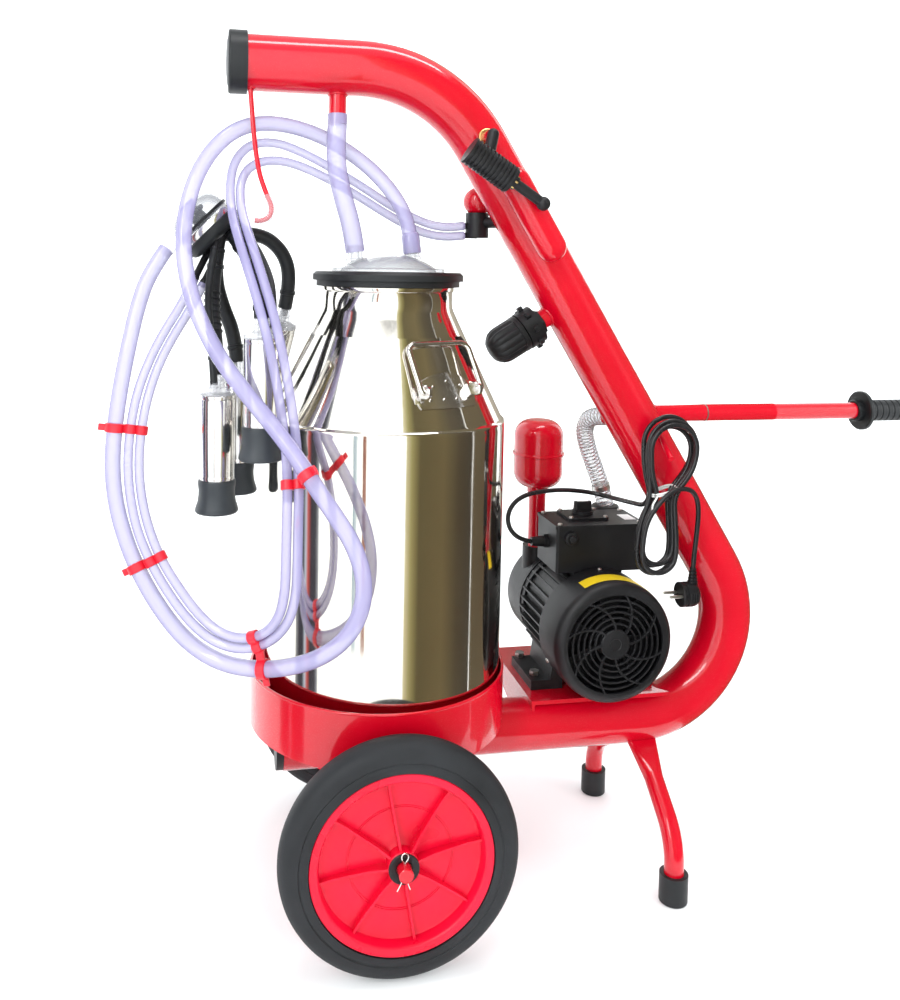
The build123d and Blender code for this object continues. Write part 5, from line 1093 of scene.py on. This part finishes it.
def ribs_of(count, depth, low, high):
    """Widens a turned piece into ribs between two heights."""
    def wave(turn, radius, height):
        if not low * MM <= height <= high * MM:
            return radius
        return radius + depth * MM * (abs(math.cos(count * turn / 2)) - 0.55)
    return wave


bowl = [(21, -14), (21, 0.4), (24, 0.4), (27, 1.2), (27.4, 4), (27.4, 8), (26, 9), (26, 10), (26, 14),
        (26, 22), (26, 34), (25.2, 40), (22.8, 46.4), (19, 51.6), (14.6, 55), (9, 56.6), (1, 56.6), (1, 34),
        (18, 30), (18, -14)]
turned_ring("trap_bowl_ribbed", bowl, on_diagonal(TRAP_DISTANCE, 80), OUT, BLACK, "bowl",
            ["trap_bowl"], 192, ribs_of(14, 2.2, 10, 47))
turned_ring("trap_nut", [(14, -7), (19, -7), (19.6, -6), (19.6, 0.5), (14, 0.5)],
            on_diagonal(TRAP_DISTANCE, 56), OUT, BLACK, "frame", steps=6, angle=20)
turned_ring("handle_seam", [(11.6, -1.2), (12.9, -1.2), (13.0, -0.2), (12.9, 0.6), (11.6, 0.6)],
            mm(202, 0, HANDLE_Z), Vector((1, 0, 0)), ZINC, "frame", steps=48)
grip = [(12.6, 452), (15.4, 452), (16.5, 453.2), (16.5, 461.4), (28.6, 461.8), (30, 463.2), (30, 467.6),
        (28.6, 469), (17, 469.6)]
for k in range(11):
    x = 474 + 10 * k
    grip += [(16.5, x), (16.5, x + 6.6), (15.5, x + 7.6), (15.5, x + 9.0)]
grip += [(16.5, 585), (16.5, 589), (15.6, 592), (13, 594), (1, 594), (1, 588.4), (12.55, 588.3)]
turned_ring("handle_grip_rubber", grip, mm(0, 0, HANDLE_Z), Vector((1, 0, 0)), RUBBER, "handle",
            ["handle_grip"], 72)

# ---------------------------------------------------------------- floor and light
def stage_card(name, centre, x_run, y_run, mat):
    """A flat staged card that only shows in reflections."""
    corners = [centre + x_run * a + y_run * b for a, b in ((-1, -1), (1, -1), (1, 1), (-1, 1))]
    mesh = bpy.data.meshes.new(name)
    mesh.from_pydata([tuple(c) for c in corners], [], [(0, 1, 2, 3)])
    mesh.materials.append(mat)
    card = bpy.data.objects.new(name, mesh)
    bpy.context.scene.collection.objects.link(card)
    card.visible_camera = False
    card.visible_shadow = False
    card.visible_diffuse = False


def studio_bowl():
    """A round pale floor that curves up into a wall on every side."""
    mat, parts, links, shader = tree_of("studio bowl")
    shader.inputs["Base Color"].default_value = (0.84, 0.85, 0.85, 1)
    shader.inputs["Roughness"].default_value = 0.95
    shader.inputs["Specular IOR Level"].default_value = 0.1
    shader.inputs["Emission Color"].default_value = (0.97, 0.985, 1.0, 1)
    place = parts.new("ShaderNodeTexCoord")
    length = parts.new("ShaderNodeVectorMath")
    length.operation = "LENGTH"
    links.new(place.outputs["Object"], length.inputs[0])
    glow = parts.new("ShaderNodeMapRange")
    glow.interpolation_type = "SMOOTHSTEP"
    for socket, value in (("From Min", 0.8), ("From Max", 4.5), ("To Min", 0.1), ("To Max", 0.62)):
        glow.inputs[socket].default_value = value
    links.new(length.outputs["Value"], glow.inputs["Value"])
    links.new(glow.outputs["Result"], shader.inputs["Emission Strength"])
    profile = [(0, 0), (1.5, 0), (3.0, 0), (4.2, 0.0), (5.0, 0.08), (5.7, 0.32), (6.3, 0.8), (6.7, 1.6),
               (6.9, 2.8), (7.0, 5.0), (7.0, 8.0)]
    verts, faces = lathe(profile, (0, 0, 0), UP, 96)
    mesh = make_mesh("studio", verts, [face for face in faces if len(face) == 4], 180)
    mesh.materials.append(mat)
    bowl_object = bpy.data.objects.new("studio", mesh)
    bpy.context.scene.collection.objects.link(bowl_object)


studio_bowl()


def room_card(name, azimuth, width, stops, height=0.9, distance=0.6):
    """A card off camera, toned from side to side, that only shows in reflections, such as in the polished
    steel.
    """
    mat, parts, links, shader = tree_of(name + " bands")
    place = parts.new("ShaderNodeTexCoord")
    across = parts.new("ShaderNodeSeparateXYZ")
    links.new(place.outputs["Generated"], across.inputs["Vector"])
    tone = ramp(parts, links, across.outputs["X"], stops)
    links.new(tone, shader.inputs["Base Color"])
    links.new(tone, shader.inputs["Emission Color"])
    shader.inputs["Emission Strength"].default_value = 0.5
    shader.inputs["Roughness"].default_value = 0.9
    turn = math.radians(azimuth)
    away = Vector((math.cos(turn), math.sin(turn), 0))
    across_run = UP.cross(away) * width / 2
    stage_card(name, BUCKET + away * distance + UP * height, across_run, UP * height, mat)


room_card("card_olive", -52, 0.74,
          [(0.0, (0.46, 0.43, 0.27)), (0.09, (0.22, 0.20, 0.075)), (0.2, (0.072, 0.058, 0.022)),
           (0.5, (0.10, 0.080, 0.034)), (0.72, (0.05, 0.04, 0.02)), (1.0, (0.03, 0.025, 0.015))])
room_card("card_dark", 0, 0.45,
          [(0.0, (0.03, 0.025, 0.015)), (0.6, (0.08, 0.065, 0.035)), (1.0, (0.02, 0.018, 0.014))])
room_card("card_brown", -118, 0.06, [(0.0, (0.16, 0.05, 0.03)), (1.0, (0.25, 0.10, 0.06))], 0.36, 1.1)
room_card("card_blue", -126, 0.07, [(0.0, (0.20, 0.27, 0.32)), (1.0, (0.42, 0.50, 0.55))], 0.36, 1.1)
room_card("card_left", -168, 0.26,
          [(0.0, (0.22, 0.23, 0.25)), (0.18, (0.02, 0.02, 0.03)), (0.36, (0.02, 0.02, 0.03)),
           (0.46, (0.32, 0.38, 0.46)), (0.56, (0.35, 0.05, 0.04)), (0.68, (0.02, 0.02, 0.03)),
           (0.88, (0.03, 0.03, 0.04)), (1.0, (0.24, 0.26, 0.30))])
room_card("card_back", 52, 0.44, [(0.0, (0.10, 0.09, 0.07)), (1.0, (0.32, 0.30, 0.25))])

bpy.context.scene.view_settings.view_transform = "Standard"
world = bpy.data.worlds.new("studio")
bpy.context.scene.world = world
world.use_nodes = True
sky = world.node_tree.nodes["Background"]
sky.inputs["Color"].default_value = (0.93, 0.95, 0.97, 1)
sky.inputs["Strength"].default_value = 0.8


def lamp(name, place, target, size, power):
    """A soft area light aimed at a place."""
    data = bpy.data.lights.new(name, "AREA")
    data.shape = "RECTANGLE"
    data.size, data.size_y = size
    data.energy = power
    light = bpy.data.objects.new(name, data)
    bpy.context.scene.collection.objects.link(light)
    light.location = place
    light.rotation_euler = (Vector(target) - Vector(place)).to_track_quat("-Z", "Y").to_euler()


lamp("key", (-2.2, -2.4, 2.6), (-0.2, 0, 0.6), (0.45, 2.4), 38)
lamp("top", (0.1, -0.3, 3.4), (0, 0, 0.4), (2.6, 0.4), 36)
lamp("fill", (2.8, -1.8, 1.6), (0, 0, 0.6), (0.8, 2.0), 16)
lamp("back", (0.6, 2.8, 2.2), (0, 0, 0.6), (2.2, 1.2), 16)
